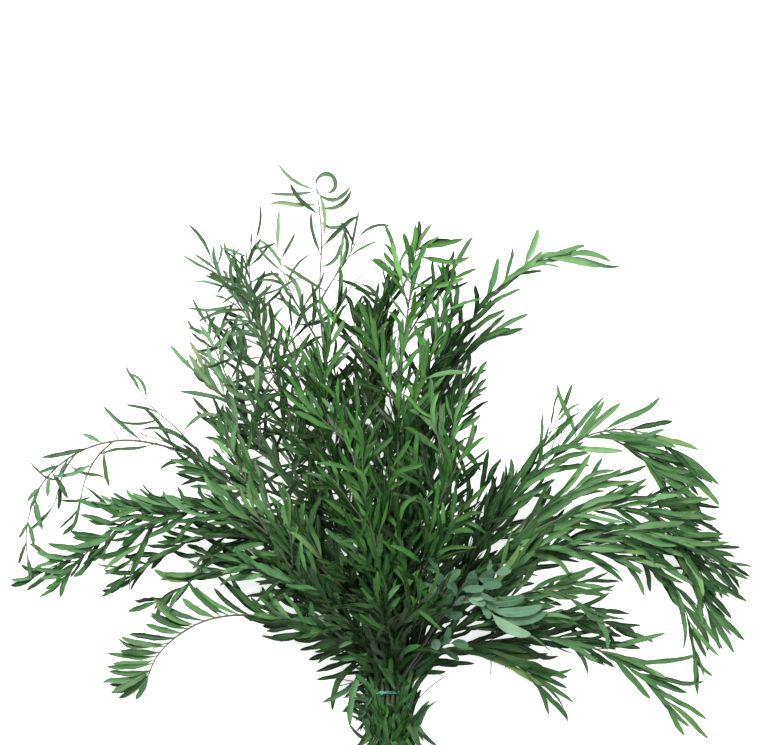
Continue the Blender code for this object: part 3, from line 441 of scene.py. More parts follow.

# Tints from 0 for dark to 1 for pale, with painted shade: the deeper a leaf lies under the top of the
# bunch, the darker its tint
SHADE_CELL = 16.0
SHADE_POINTS = (0.3, 0.7)
SHADE_DEPTH = 60.0
PAINTED_SHADE_TINT = 0.5
STEM_TINT = (0.5, 0.06)
LEAF_TINT = 0.19
LIGHTEST_TINT = 0.88
MIDDLE_HUE = 0.5
HUE_SPREAD = {"slim": 0.2, "upright": 0.22, "spray": 0.18, "dense": 0.22, "pale": 0.07}

# Dry twigs without leaves: their waves, how they thin, and rows as for leaves given one by one
TWIGLET_RADIUS = 0.65
TWIGLET_THINS = 0.35
TWIGLET_WAVE = (7.0, 0.012)
TWIGLETS = {
    "stem_left_low": [(122, 176, 50, -14), (130, 190, 46, 10), (112, 184, 40, 8)],
    "stem_right_lower": [(88, 40, 60, 0), (140, -12, 34, -8), (230, -80, 40, -16), (232, -62, 34, 6)],
    "stem_upper_left": [(430, 160, 90, -30), (470, 120, 70, -20), (520, 150, 70, 10), (560, 128, 60, -16)],
    "stem_tall": [(420, 40, 120, 20), (450, 52, 110, -14), (470, 128, 80, -12), (540, 38, 80, 16)],
    "stem_upper_inner": [(470, 128, 70, 24), (480, 100, 50, -20)],
    "stem_right_top": [(380, 58, 70, -14), (500, 24, 90, -18), (430, 66, 50, 10)],
    "stem_left_arm": [(470, 150, 80, 20), (430, 160, 90, -10), (540, 122, 40, -20), (620, 150, 40, 20)],
    "stem_upper_right": [(400, 66, 80, -10), (430, 40, 70, 14)],
}

# Single leaves that stand out in the bunch's outline: rows as for leaves given one by one
SINGLE_LEAVES = {
    "stem_right_top": [(300, 104, 64, 6), (328, 92, 60, -6), (350, 80, 62, 6), (372, 68, 58, -4),
                       (460, 50, 57, 6), (570, 326, 67, -8)],
    "stem_right_middle": [(578, 299, 62, 4)],
    "stem_left_arm": [(626, 300, 34, 0), (646, 240, 30, 6), (668, 292, 32, -6), (690, 284, 28, 6)],
    "stem_left_low": [(285, 142, 66, -10), (330, 136, 46, -6)],
}

# Twine of the tie: its plies, a way that no twine starts along, its two turns round the bundle, the
# trefoil of its knot, and the two ends of the knot, which rise by a start and an arc, begin beside
# the middle and reach sideways
PLY_RADIUS = 0.42
PLY_OFFSET = 0.36
PLY_SIDES = 6
PLY_PITCH = 5.0
SKEW = (0.3, 1.0, 0.2)
TURN_OFFSET = 0.8
TURN_SAMPLES = 120
KNOT_SAMPLES = 40
KNOT_SCALE = 0.62
KNOT_TWINE = 0.75
TAIL_SAMPLES = 12
TAIL_RISE = (0.6, 1.2)
TAIL_START = 1.0
TAIL_REACH = (8.0, 3.0)

# Flat places for baking, as shares of the whole: one tall strip for each stem, cells for the rest,
# and in each of them room for the faces of the two ends
STRIP_WIDTH = 0.04
STRIP_MARGIN = 0.004
CELL_MARGIN = 0.06
CELL_SHAPE = 3
ENDS_ROOM = 0.1
END_PLACES = ((0.25, 0.045), (0.75, 0.045))
END_SIZE = (0.12, 0.04)

# Colours: stops from dark to pale, or from the cut end to the tip for bark
LEAF_TONES = {
    "slim": [(0.0, (0.018, 0.038, 0.016)), (0.4, (0.074, 0.136, 0.060)), (0.75, (0.150, 0.238, 0.114)),
             (1.0, (0.25, 0.34, 0.19))],
    "upright": [(0.0, (0.003, 0.013, 0.002)), (0.4, (0.022, 0.080, 0.014)), (0.75, (0.056, 0.156, 0.031)),
                (1.0, (0.125, 0.26, 0.066))],
    "spray": [(0.0, (0.008, 0.024, 0.008)), (0.4, (0.042, 0.104, 0.033)), (0.75, (0.082, 0.174, 0.057)),
              (1.0, (0.145, 0.265, 0.098))],
    "dense": [(0.0, (0.004, 0.016, 0.003)), (0.4, (0.043, 0.112, 0.034)), (0.75, (0.100, 0.204, 0.072)),
              (1.0, (0.18, 0.31, 0.13))],
    "pale": [(0.0, (0.034, 0.086, 0.042)), (0.5, (0.126, 0.232, 0.138)), (1.0, (0.24, 0.36, 0.24))],
}
WARM = (1.12, 0.97, 0.88)
COOL = (0.75, 1.02, 1.25)
RIB_TONE = (0.13, 0.25, 0.08)
DRY_TONE = (0.15, 0.125, 0.05)
UNDER_TONE = (0.09, 0.17, 0.08)
UNDER_SHARE = 0.55
BARK_TONES = [(0.0, (0.050, 0.056, 0.028)), (0.2, (0.026, 0.042, 0.014)), (0.75, (0.050, 0.052, 0.030)),
              (1.0, (0.075, 0.056, 0.050))]
WOOD_TONES = [(0.3, (0.26, 0.21, 0.10)), (0.7, (0.46, 0.40, 0.22))]
TWINE_TONES = [(0.3, (0.015, 0.16, 0.11)), (0.7, (0.06, 0.34, 0.25))]
WHITE = (1.0, 1.0, 1.0)

# A leaf's side veins, how many along it and how they slant, and the roughness of its upper side,
# what the underside adds to it and what the spots do
VEINS = 26.0
VEIN_SLANT = 2.6
LEAF_ROUGH = 0.33
UNDER_ROUGH = 0.18
BLOTCH_ROUGH = 0.2

# The camera's height and what it sees, in metres, with the middle of the view as a place in the
# drawing; each light's place in metres, its size and its power; and how far the floor glows
EYE_HEIGHT = 2.6
FOCUS_HEIGHT = 0.04
VIEW_WIDTH = 0.836
VIEW_CENTRE = (-11.3, 353.65)
SENSOR_WIDTH = 36.0
WORLD_STRENGTH = 0.27
LIGHTS = [((-0.8, 1.5, 2.1), 0.8, 150.0), ((1.3, 0.2, 2.2), 1.4, 32.0)]
FLOOR_GLOW = 0.74
FLOOR_REACH = 20.0


def unit(vector):
    """The vector made one long."""
    return vector / np.linalg.norm(vector)


def limited(value, low=0.0, high=1.0):
    """The value, kept between these limits."""
    return min(max(value, low), high)


def turned(first, second, angle):
    """The way at this angle from the first way, towards the second."""
    return np.cos(angle) * first + np.sin(angle) * second


def circle(sides, first, second, shift=0.0):
    """Spokes to the corners of a ring, from the first way on towards the second."""
    angles = 2 * math.pi * (np.arange(sides) + shift) / sides
    return turned(first, second, angles[:, None])


def read_between(places, known, rows):
    """What a table has at these places, when its rows belong to the known ones."""
    return np.array([np.interp(places, known, column) for column in np.transpose(rows)]).T


def arc_lengths(points):
    """How far along a line each of its points lies."""
    return np.concatenate(([0.0], np.cumsum(np.linalg.norm(np.diff(points, axis=0), axis=1))))


def smooth_route(knots, per_span=8):
    """Points along one smooth curve through the knots, a centripetal Catmull-Rom curve."""
    knots = [np.array(knot, float) for knot in knots]
    knots = [2 * knots[0] - knots[1], *knots, 2 * knots[-1] - knots[-2]]
    points = []
    for a, b, c, d in zip(knots, knots[1:], knots[2:], knots[3:]):
        tb = np.linalg.norm(b - a) ** 0.5
        tc = tb + np.linalg.norm(c - b) ** 0.5
        td = tc + np.linalg.norm(d - c) ** 0.5
        for t in np.linspace(tb, tc, per_span, endpoint=False):
            ab = a + (b - a) * t / tb
            bc = b + (c - b) * (t - tb) / (tc - tb)
            cd = c + (d - c) * (t - tc) / (td - tc)
            abc = ab + (bc - ab) * t / tc
            bcd = bc + (cd - bc) * (t - tb) / (td - tb)
            points.append(abc + (bcd - abc) * (t - tb) / (tc - tb))
    points.append(knots[-2])
    return np.array(points)


class Axis:
    """The middle line of a stem or twig, with its radius at both ends and the rings of its solid."""

    def __init__(self, name, knots, thick, thin, even=0.0):
        self.name = name
        self.points = smooth_route(knots)
        self.arc = arc_lengths(self.points)
        self.length = self.arc[-1]
        self.thick = thick
        self.thin = thin
        self.even = even
        self.rings = np.array(TWIG_RINGS) * self.length
        self.anchor = self.points[0]

    def at(self, distance):
        """The point this far along."""
        return read_between(distance, self.arc, self.points)

    def inside(self, distance):
        """The point this far along that lies in its solid, on the straight run between two rings."""
        return read_between(distance, self.rings, self.at(self.rings))

    def ahead(self, distance):
        """The way it grows this far along."""
        return unit(self.at(distance + AHEAD_STEP) - self.at(distance - AHEAD_STEP))

    def radius(self, distance):
        """Half its thickness this far along: even at first, then thinner to the tip."""
        taper = max(0.0, distance - self.even) / (self.length - self.even)
        return self.thick + (self.thin - self.thick) * taper

    def frame(self, distance):
        """The way it grows, the way to its right along the table, and the way over it."""
        ahead = self.ahead(distance)
        across = unit(np.cross(ahead, UP))
        return ahead, across, np.cross(across, ahead)


class Leaf:
    """One leaf: where it grows, the way it points and faces, its size and its bends."""

    def __init__(self, axis, distance, along, side, length, width, bend, curl, twist):
        self.root = axis.at(distance)
        self.anchor = axis.inside(distance)
        self.along = along
        self.side = side
        self.length = length
        self.width = width
        self.bend = bend
        self.curl = curl
        self.twist = twist
        self.lift = 0.0

    def line(self, fractions):
        """Its middle line at these fractions of its length, with the ways across it and out of it."""
        grid = np.linspace(0.0, 1.0, LEAF_GRID)
        out = np.cross(self.side, self.along)
        bend = (self.bend * grid)[:, None]
        curl = (self.curl * grid)[:, None]
        ahead = turned(turned(self.along, self.side, bend), out, curl)
        middle = np.cumsum((ahead[1:] + ahead[:-1]) / 2, axis=0) * self.length / (len(grid) - 1)
        middle = self.root + np.concatenate((np.zeros((1, 3)), middle))
        middle = middle + np.outer(grid, UP) * self.lift
        flat = turned(self.side, -self.along, bend)
        proud = np.cross(flat, ahead)
        twist = (self.twist * grid)[:, None]
        lines = middle, turned(flat, proud, twist), turned(proud, -flat, twist)
        return [read_between(fractions, grid, rows) for rows in lines]

    def half_width(self, fraction):
        """Half its width, at this fraction of its length."""
        blade = max(0.0, (fraction - PETIOLE) / (1.0 - PETIOLE))
        later, full = LEAF_OUTLINE
        half = self.width / 2 * math.sin(math.pi * blade**later) ** full
        return max(PETIOLE_HALF_WIDTH * (1.0 - fraction), half)


def slots():
    """Each stem's place inside the tie, layer by layer from the table up."""
    places = []
    lowest = TIE_THICKNESS + GAP + STEM_RADIUS
    for layer, count in enumerate(LAYERS):
        for column in range(count):
            x = (column - (count - 1) / 2) * PITCH
            places.append((x, lowest + layer * PITCH * math.sin(math.radians(LAYER_ANGLE))))
    return np.array(places)


def outward_from_bundle(place):
    """The way out of the bundle from a stem in its outer layer, or zeros inside it."""
    offset = place - slots().mean(axis=0)
    if np.linalg.norm(offset) < OUTERMOST * PITCH:
        return np.zeros(3)
    return unit(np.array((offset[0], 0.0, max(offset[1], 0.0) + OUTWARD_RISE)))


def stem_axis(name, place, route):
    """A stem's middle line, from its cut end through the tie and along its route."""
    x, z = place
    drop = TIE_THICKNESS + GAP
    cut = CUT_LENGTH * random.Random(name).uniform(*CUT_SHORTER)
    turn = STRAIGHT - TURN_SOONER * (abs(x) + z)
    bundled = [
        (x * CUT_FLARE, -cut, z - drop), (x * NECK_FLARE, -NECK_LENGTH, z - drop / 2),
        (x, -BEFORE_TIE, z), (x, turn - TURN_RUN, z), (x, turn, z),
    ]
    axis = Axis(name, bundled + list(route), STEM_RADIUS, STEM_TIP_RADIUS, even=CUT_LENGTH)
    near = cut + np.array(STEM_RINGS)
    beyond = np.linspace(near[-1], axis.length, STEM_RINGS_BEYOND + 1)[1:]
    axis.rings = np.concatenate(([0.0], near, beyond))
    return axis


def twig_from(stem, start, name, route):
    """A twig's middle line, from this far along its stem and through the route's points."""
    twig = Axis(name, [stem.at(start), *route], TWIG_RADIUS, TWIG_TIP_RADIUS)
    twig.anchor = stem.inside(start)
    return twig


def twig_axis(stem, number, attempt, kind, count, twigs_to):
    """A twig that leaves the stem to one side by rule, with its own seeded draw."""
    draw = random.Random(f"{stem.name}/twig/{number}/{attempt}")
    side = 1 if number % 2 else -1
    place = TWIGS_FROM + (twigs_to - TWIGS_FROM) * (number + draw.uniform(*TWIG_PLACE)) / count
    start = place * stem.length
    ahead, across, over = stem.frame(start)
    turn = math.radians(draw.uniform(*kind["turn"]))
    climb = math.radians(draw.uniform(*TWIG_CLIMB))
    length = kind["twig"] * (TWIG_LONGEST - TWIG_SHORTER * place) * draw.uniform(*TWIG_LENGTHS)
    heading = turned(ahead, side * across, turn) + math.sin(climb) * over
    pull = np.array((0.0, -TWIG_PULL * kind["droop"], 0.0)) * reach_out(stem.at(start))
    point = stem.at(start)
    route = []
    for _ in range(TWIG_STEPS):
        heading = unit(heading + pull + TWIG_STRAIGHTENS * ahead)
        point = point + heading * length / TWIG_STEPS
        point[2] = limited(point[2], LOWEST_TWIG, HIGHEST_TWIG)
        route.append(point)
    return twig_from(stem, start, f"{stem.name}/{number}", route)


def reach_out(point):
    """How far out to the side a point is, from 0 in the middle to 1 where the side sprays are."""
    return min(1.0, abs(point[0]) / WIDEST_REACH)


def limited_gauss(draw, middle, limits):
    """A normal draw of the usual size that stays within the greatest one of its middle."""
    usual, greatest = limits
    return middle + limited(draw.gauss(0.0, usual), -greatest, greatest)


def rolled(along, roll):
    """The way across a leaf that points along: level, then rolled by this angle."""
    level = unit(np.cross(along, UP))
    return turned(level, np.cross(level, along), roll)


def leaf_on(axis, number, attempt, distance, side, kind, size, outward=None):
    """A leaf that leaves the axis to one side, or ahead where side is 0, flat enough to show from above."""
    draw = random.Random(f"{axis.name}/leaf/{number}/{attempt}")
    root = axis.at(distance)
    ahead, across, _ = axis.frame(distance)
    around = limited_gauss(draw, 0.0, AROUND)
    sideways = (side or 1) * across if outward is None else outward
    outward = turned(sideways, np.cross(ahead, sideways) * (side or 1), around)
    spread = math.radians(draw.uniform(*kind["spread"])) * (1.0 if side else TIP_SPREAD)
    along = turned(ahead, outward, spread)
    reach = reach_out(root)
    lean = kind["lean"] * reach * abs(side)
    along = unit(along + lean * np.array((math.copysign(1.0, root[0]), 0.0, 0.0)))
    width_way = rolled(along, limited_gauss(draw, 0.0, ROLL) * (1.0 if side else TIP_ROLL))
    hang = HANG * kind["hang"] * reach
    bend = limited_gauss(draw, -hang * width_way[1], kind["bend"])
    curl = limited_gauss(draw, CURL_DOWN - hang * np.cross(width_way, along)[1], CURL)
    length = draw.uniform(*kind["leaf"]) * size
    width = draw.uniform(*kind["width"]) * (SMALL_WIDTH + (1.0 - SMALL_WIDTH) * size)
    return Leaf(axis, distance, along, width_way, length, width, bend, curl, draw.uniform(-TWIST, TWIST))


def leaf_by_hand(axis, number, attempt, kind, distance, heading, length, bend):
    """A leaf that points and bends as its row in the table says."""
    draw = random.Random(f"{axis.name}/hand/{number}/{attempt}")
    rise = math.radians(draw.uniform(-HAND_RISE, HAND_RISE) + RISE_STEP * attempt * (-1) ** attempt)
    along = turned(turned(ALONG_X, ALONG_Y, math.radians(heading)), UP, rise)
    width_way = rolled(along, math.radians(draw.uniform(-HAND_ROLL, HAND_ROLL)))
    width = draw.uniform(*kind["width"])
    return Leaf(axis, distance, along, width_way, length, width, -math.radians(bend), 0.0, 0.0)


def comb_rows(start, end, count, headings, length, bend):
    """Rows for leaves side by side, that vary a little in place, heading, length and bend."""
    first, last = headings
    shift, turn, sizes, more_bend = COMB_VARIES
    for number in range(count):
        draw = random.Random(f"{start}/{end}/{number}")
        share = number / (count - 1)
        distance = start + (end - start) * share + draw.uniform(-shift, shift)
        heading = first + (last - first) * share + draw.uniform(-turn, turn)
        yield distance, heading, length * draw.uniform(*sizes), bend + draw.uniform(-more_bend, more_bend)


def spots_along(axis, start, end, spacing, has_tip):
    """Places for leaves, in turn on the two sides of an axis: number, distance, side and size."""
    count = max(1, round((end - start) / spacing))
    for number in range(count + 1):
        distance = start + (end - start) * number / count
        side = 0 if has_tip and number == count else (1 if number % 2 else -1)
        yield number, distance, side, 1.0 - SMALLER_OUTWARD * (distance / axis.length) ** 2


def quads_between(corner):
    """The faces between rings of corners, which are given by their numbers."""
    beside = np.roll(corner, -1, axis=1)
    return np.stack((corner[:-1], beside[:-1], beside[1:], corner[1:]), axis=-1).reshape(-1, 4)


def strand_shape(rings, start=None, end=None):
    """Corners and faces of a closed body through rings of corners, each end a point or a flat face."""
    corners = np.concatenate(rings)
    corner = np.arange(len(corners)).reshape(len(rings), -1)
    faces = quads_between(corner)[:, (0, 1, 2, 0, 2, 3)].reshape(-1, 3).tolist()
    for ring, point in (corner[0, ::-1], start), (corner[-1], end):
        if point is None:
            faces.append(ring.tolist())
        else:
            faces += [(a, b, len(corners)) for a, b in zip(ring.tolist(), np.roll(ring, -1).tolist())]
            corners = np.vstack((corners, point))
    return corners, faces


def ring_round(axis, distance, sides, margin=0.0):
    """A ring of corners round the axis, this far along."""
    _, across, over = axis.frame(distance)
    return axis.at(distance) + (axis.radius(distance) + margin) * circle(sides, over, across, -0.5)


def stem_shape(axis, margin=0.0):
    """A stem as a closed tube with flat ends."""
    return strand_shape([ring_round(axis, distance, STEM_SIDES, margin) for distance in axis.rings])


def leaf_rings(leaf, margin=0.0, fractions=LEAF_RINGS):
    """Rings of a leaf's blade: its two edges and the rib under it."""
    rings = []
    for fraction, middle, side, face in zip(fractions, *leaf.line(fractions)):
        half = leaf.half_width(fraction) + margin
        top = middle + face * margin
        rings.append(np.array((top - side * half, top + side * half, middle - face * (LEAF_RIB + margin))))
    return rings


def leaf_tip(leaf, margin=0.0):
    """The leaf's point."""
    (before, tip), _, _ = leaf.line((NEAR_TIP, 1.0))
    return tip + unit(tip - before) * margin


def leaf_shape(leaf, margin=0.0):
    """A leaf as a closed blade with a point at both ends, the root one inside what it grows from."""
    return strand_shape(leaf_rings(leaf, margin), leaf.anchor, leaf_tip(leaf, margin))


def free_end(leaf, margin):
    """The outer three quarters of a leaf, away from what it grows from."""
    return strand_shape(leaf_rings(leaf, margin, FREE_RINGS), end=leaf_tip(leaf, margin))


def twig_shape(twig, leaf, margin=0.0):
    """A twig and the leaf at its tip as one closed body, with a point for a root."""
    rings = [ring_round(twig, distance, TWIG_SIDES, margin) for distance in twig.rings]
    return strand_shape(rings + leaf_rings(leaf, margin), twig.anchor, leaf_tip(leaf, margin))


def raise_leaf(leaf):
    """Bends a leaf that would reach below the table up, until it just rests on it."""
    corners = np.concatenate((*leaf_rings(leaf), [leaf_tip(leaf)]))
    fractions = np.append(np.repeat(LEAF_RINGS, 3), 1.0)
    leaf.lift = max(0.0, float(np.max(-corners[:, 2] / fractions)))


class Crowd:
    """The shapes placed so far, so that the next one can be kept clear of them."""

    def __init__(self):
        self.trees = []
        self.owners = []
        self.lows = np.zeros((0, 3))
        self.highs = np.zeros((0, 3))

    def add(self, owner, shape):
        corners, faces = shape
        self.trees.append(BVHTree.FromPolygons(corners.tolist(), faces))
        self.owners.append(owner)
        self.lows = np.vstack((self.lows, corners.min(axis=0)))
        self.highs = np.vstack((self.highs, corners.max(axis=0)))

    def is_clear(self, shape, root=None):
        """True where this shape meets no placed shape but the one it grows from."""
        corners, faces = shape
        low_enough = (self.lows <= corners.max(axis=0)).all(axis=1)
        high_enough = (self.highs >= corners.min(axis=0)).all(axis=1)
        near = [k for k in np.flatnonzero(low_enough & high_enough) if self.owners[k] != root]
        if not near:
            return True
        tree = BVHTree.FromPolygons(corners.tolist(), faces)
        return not any(tree.overlap(self.trees[k]) for k in near)


class Stem:
    """A leafy stem: its own line, its twigs with the leaf at the tip of each, and its other leaves."""

    def __init__(self, name, place):
        self.name = name
        self.table = STEMS[name]
        self.kind = {**KINDS[self.table["kind"]], **self.table.get("own", {})}
        self.axis = stem_axis(name, place, self.table["route"])
        self.outward = outward_from_bundle(place)
        self.leafy_neck = self.outward.any() and not self.table.get("bare_neck")
        self.branches = []
        self.twigs = []
        self.leaves = []

    def grow_twigs(self, crowd):
        """Listed branches and twigs by rule, tried again where they would meet another."""
        for number, (start, route) in enumerate(self.table.get("branches", ())):
            branch = twig_from(self.axis, start, f"{self.name}/branch/{number}", route)
            self.branches.append(branch)
            self.place_twig(crowd, lambda attempt: branch)
        count = self.table["twigs"]
        twigs_to = self.table.get("twigs_to", TWIGS_TO)
        for number in range(count):
            self.place_twig(crowd, lambda attempt: twig_axis(
                self.axis, number, attempt, self.kind, count, twigs_to))

    def place_twig(self, crowd, route_of):
        for attempt in range(TRIES):
            twig = route_of(attempt)
            leaf = leaf_on(twig, "tip", attempt, twig.length, 0, self.kind, TIP_LEAF)
            raise_leaf(leaf)
            if crowd.is_clear(twig_shape(twig, leaf, CLEAR), root=self.axis.name):
                crowd.add(twig.name, twig_shape(twig, leaf))
                self.twigs.append((twig, leaf))
                return

    def rows_by_hand(self):
        """Each leaf of the table: what it grows on, whether the solid holds it, and its row."""
        for distance, *row in self.table.get("leaves", ()):
            yield self.axis, True, (distance if distance > 0 else self.axis.length + distance, *row)
        for place, *comb in self.table.get("combs", ()):
            axis = [self.axis, *self.branches][place]
            for number, (distance, *row) in enumerate(comb_rows(*comb)):
                yield axis, number % COMB_EVERY == 0, (min(distance, axis.length - COMB_SHORT), *row)

    def collar_spots(self):
        """Places round the neck of the bunch, on the stems that are outermost in the tie."""
        if self.leafy_neck:
            end = LEAFY_FROM * self.axis.length - COLLAR_SHORT
            count = round((end - COLLAR_FROM) / COLLAR_SPACING)
            for number in range(count + 1):
                distance = COLLAR_FROM + (end - COLLAR_FROM) * number / count
                yield number, distance, 1 if number % 2 else -1

    def leafy_runs(self):
        """The stem and its twigs, with the stretch of each that has leaves."""
        start, end = self.table.get("leafy", (LEAFY_FROM * self.axis.length, self.axis.length))
        yield self.axis, start, end - LEAFY_SHORT
        for twig, _ in self.twigs:
            yield twig, BARE_TWIG_ROOT, twig.length - BARE_TWIG_TIP

    def all_leaves(self):
        """Each listed leaf or leaf by rule: what it grows on, whether the solid holds it, and its maker."""
        for number, (axis, solid, row) in enumerate(self.rows_by_hand()):
            yield axis, solid, lambda attempt: leaf_by_hand(axis, number, attempt, self.kind, *row)
        for number, distance, side in self.collar_spots():
            yield self.axis, number % COLLAR_EVERY == 1, lambda attempt: leaf_on(
                self.axis, f"collar{number}", attempt, distance, side, self.kind, COLLAR_LEAF, self.outward)
        for axis, start, end in self.leafy_runs():
            spots = spots_along(axis, start, end, self.kind["spacing"], axis is self.axis)
            for number, distance, side, size in spots:
                yield axis, number % LEAF_EVERY == 2 or side == 0, lambda attempt: leaf_on(
                    axis, number, attempt, distance, side, self.kind, size)

    def grow_leaves(self, crowd):
        """The leaves that the solid holds, tried again where they would meet another."""
        for axis, solid, leaf_of in self.all_leaves():
            if solid:
                self.place_leaf(crowd, axis, leaf_of)

    def place_leaf(self, crowd, axis, leaf_of):
        for attempt in range(TRIES):
            leaf = leaf_of(attempt)
            raise_leaf(leaf)
            clear = crowd.is_clear(leaf_shape(leaf, CLEAR), root=axis.name)
            if clear and crowd.is_clear(free_end(leaf, CLEAR)):
                crowd.add(self.name, leaf_shape(leaf))
                self.leaves.append(leaf)
                return


def grow_bunch():
    """All the stems with their twigs and leaves."""
    crowd = Crowd()
    crowd.add("tie", tie_shape())
    crowd.add("tie", knot_shape())
    stems = [Stem(name, place) for name, place in zip(STEMS, slots())]
    for stem in stems:
        crowd.add(stem.axis.name, stem_shape(stem.axis))
    for stem in stems:
        stem.grow_twigs(crowd)
    for stem in stems:
        stem.grow_leaves(crowd)
    return stems


def tie_line():
    """The tie's middle line: round the outermost stems at one distance from them."""
    places = slots()
    reach = STEM_RADIUS + GAP + TIE_THICKNESS / 2
    line = []
    for way in circle(TIE_CORNERS, ALONG_X, UP, 0.5):
        x, z = places[np.argmax(places @ way[[0, 2]])]
        line.append((np.array((x, 0.0, z)) + way * reach, way))
    return line


def tie_shape():
    """The tie's band, closed round the bundle, with rounded edges."""
    corners = []
    for centre, outward in tie_line():
        for out, along in TIE_SECTION:
            corners.append(centre + outward * out * TIE_THICKNESS / 2 + ALONG_Y * along * TIE_WIDTH / 2)
    corner = np.arange(len(corners)).reshape(TIE_CORNERS, -1)
    return np.array(corners), quads_between(np.vstack((corner, corner[:1]))).tolist()


def knot_middle():
    """The middle of the tie's knot, on top of the band, and the way out of the band there."""
    centre, outward = tie_line()[KNOT_CORNER]
    return centre + outward * (KNOT_RADIUS - TIE_THICKNESS / 2), outward


def knot_shape():
    """The tie's knot, a lump on top of the band."""
    middle, _ = knot_middle()
    rings = []
    for turn in KNOT_TURNS:
        offset = KNOT_RADIUS * math.sin(math.radians(turn)) * ALONG_Y
        across = KNOT_RADIUS * math.cos(math.radians(turn))
        rings.append(middle + offset + across * circle(KNOT_SIDES, ALONG_X, -UP, 0.5))
    return strand_shape(rings)


def add_object(name, data):
    """A new object that is linked to the scene."""
    thing = bpy.data.objects.new(name, data)
    bpy.context.scene.collection.objects.link(thing)
    return thing


def unrolled(steps, sides):
    """The faces of a body laid flat in a square: its sides, and its two ends below them."""
    side, ring = np.meshgrid(np.arange(sides), np.arange(steps - 1))
    quads = []
    for across, along in ((0, 0), (1, 0), (1, 1), (0, 1)):
        height = ENDS_ROOM + (1.0 - ENDS_ROOM) * (ring + along) / (steps - 1)
        quads.append(np.stack(((side + across) / sides, height), -1))
    first, last = END_PLACES
    rim = circle(sides, (END_SIZE[0], 0.0), (0.0, END_SIZE[1]))
    return np.concatenate((np.stack(quads, 2).reshape(-1, 2), first + rim[::-1], last + rim))


class Piece:
    """Bodies of one object, gathered ring by ring, with what its material reads of each corner."""

    def __init__(self):
        self.corners = []
        self.faces = []
        self.slots = []
        self.under = []
        self.values = {"tint": [], "hue": [], "across": [], "along": []}
        self.cells = []
        self.count = 0

    def add(self, rings, slot, across, along, tint=0.5, hue=MIDDLE_HUE):
        """A closed body through rings of corners."""
        steps, sides, _ = rings.shape
        corner = self.count + np.arange(steps * sides).reshape(steps, sides)
        self.faces += [*quads_between(corner).tolist(), corner[0, ::-1].tolist(), corner[-1].tolist()]
        lower = np.tile(np.arange(sides) >= sides // 2, steps - 1) & (slot == LEAF)
        self.under.append(np.append(lower, (False, False)))
        self.slots.append(np.full(len(lower) + 2, slot))
        self.corners.append(rings.reshape(-1, 3))
        self.values["across"].append(np.tile(across, steps))
        self.values["along"].append(np.repeat(along, sides))
        self.values["tint"].append(np.full(steps * sides, tint))
        self.values["hue"].append(np.full(steps * sides, hue))
        self.cells.append((steps, sides))
        self.count += steps * sides

    def add_round(self, rings, slot, first=0.0):
        """A closed round body, such as a twig, with how far along the stem it starts, from 0 to 1."""
        self.add(rings, slot, np.zeros(rings.shape[1]), np.linspace(first, 1.0, len(rings)))

    def layout(self):
        """A flat place for each corner of each face: a tall strip for a first body of bark, then cells."""
        strip = np.array((STRIP_WIDTH, 1.0)) * (self.slots[0][0] == BARK)
        places = []
        if strip.any():
            places.append(STRIP_MARGIN + (strip - 2 * STRIP_MARGIN) * unrolled(*self.cells[0]))
        cells = self.cells[len(places):]
        columns = math.ceil(math.sqrt(len(cells) * CELL_SHAPE))
        cell = np.array(((1.0 - strip[0]) / columns, 1.0 / math.ceil(len(cells) / columns)))
        for number, body in enumerate(cells):
            low = cell * (number % columns + CELL_MARGIN, number // columns + CELL_MARGIN)
            places.append(low + (strip[0], 0.0) + (1.0 - 2 * CELL_MARGIN) * cell * unrolled(*body))
        return np.concatenate(places)

    def build(self, name, materials):
        """The object, with its corners moved from the drawing's place to the part's."""
        corners = np.concatenate(self.corners)
        corners[:, 2] = np.maximum(corners[:, 2], LOWEST)
        corners = corners * METRES + PLACE
        mesh = bpy.data.meshes.new(name)
        mesh.from_pydata(corners.tolist(), [], self.faces, shade_flat=False)
        for material in materials:
            mesh.materials.append(material)
        mesh.polygons.foreach_set("material_index", np.concatenate(self.slots).astype(np.int32))
        for key, values in self.values.items():
            self.store(mesh, key, "POINT", np.concatenate(values))
        self.store(mesh, "under", "FACE", np.concatenate(self.under))
        uv = mesh.uv_layers.new(name="OFBake")
        uv.data.foreach_set("uv", self.layout().ravel().astype(np.float32))
        self.sharpen(mesh)
        mesh.update()
        return add_object(name, mesh)

    def store(self, mesh, key, domain, values):
        """Values that the materials read from the mesh."""
        layer = mesh.attributes.new(key, "FLOAT", domain)
        layer.data.foreach_set("value", values.astype(np.float32))

    def sharpen(self, mesh):
        """Keeps the two faces of each leaf apart at its edges, so that its blade looks thin."""
        ends = np.empty(len(mesh.edges) * 2, np.int32)
        mesh.edges.foreach_get("vertices", ends)
        ends = np.sort(ends.reshape(-1, 2), axis=1)
        across = np.concatenate(self.values["across"])
        rim = np.abs(across[ends]).min(axis=1) == 1.0
        along = ends[:, 1] - ends[:, 0] == LEAF_SIDES
        sharp = mesh.attributes.new("sharp_edge", "BOOLEAN", "EDGE")
        sharp.data.foreach_set("value", rim & along)


def stations_of(leaf):
    """Where a fine leaf has its rings: closer together on a leaf that bends round on itself."""
    if abs(leaf.bend) < TIGHT_BEND:
        return LEAF_STATIONS
    closer = np.linspace(0.0, len(LEAF_STATIONS) - 1.0, TIGHT_STATIONS)
    return np.interp(closer, np.arange(len(LEAF_STATIONS)), LEAF_STATIONS)


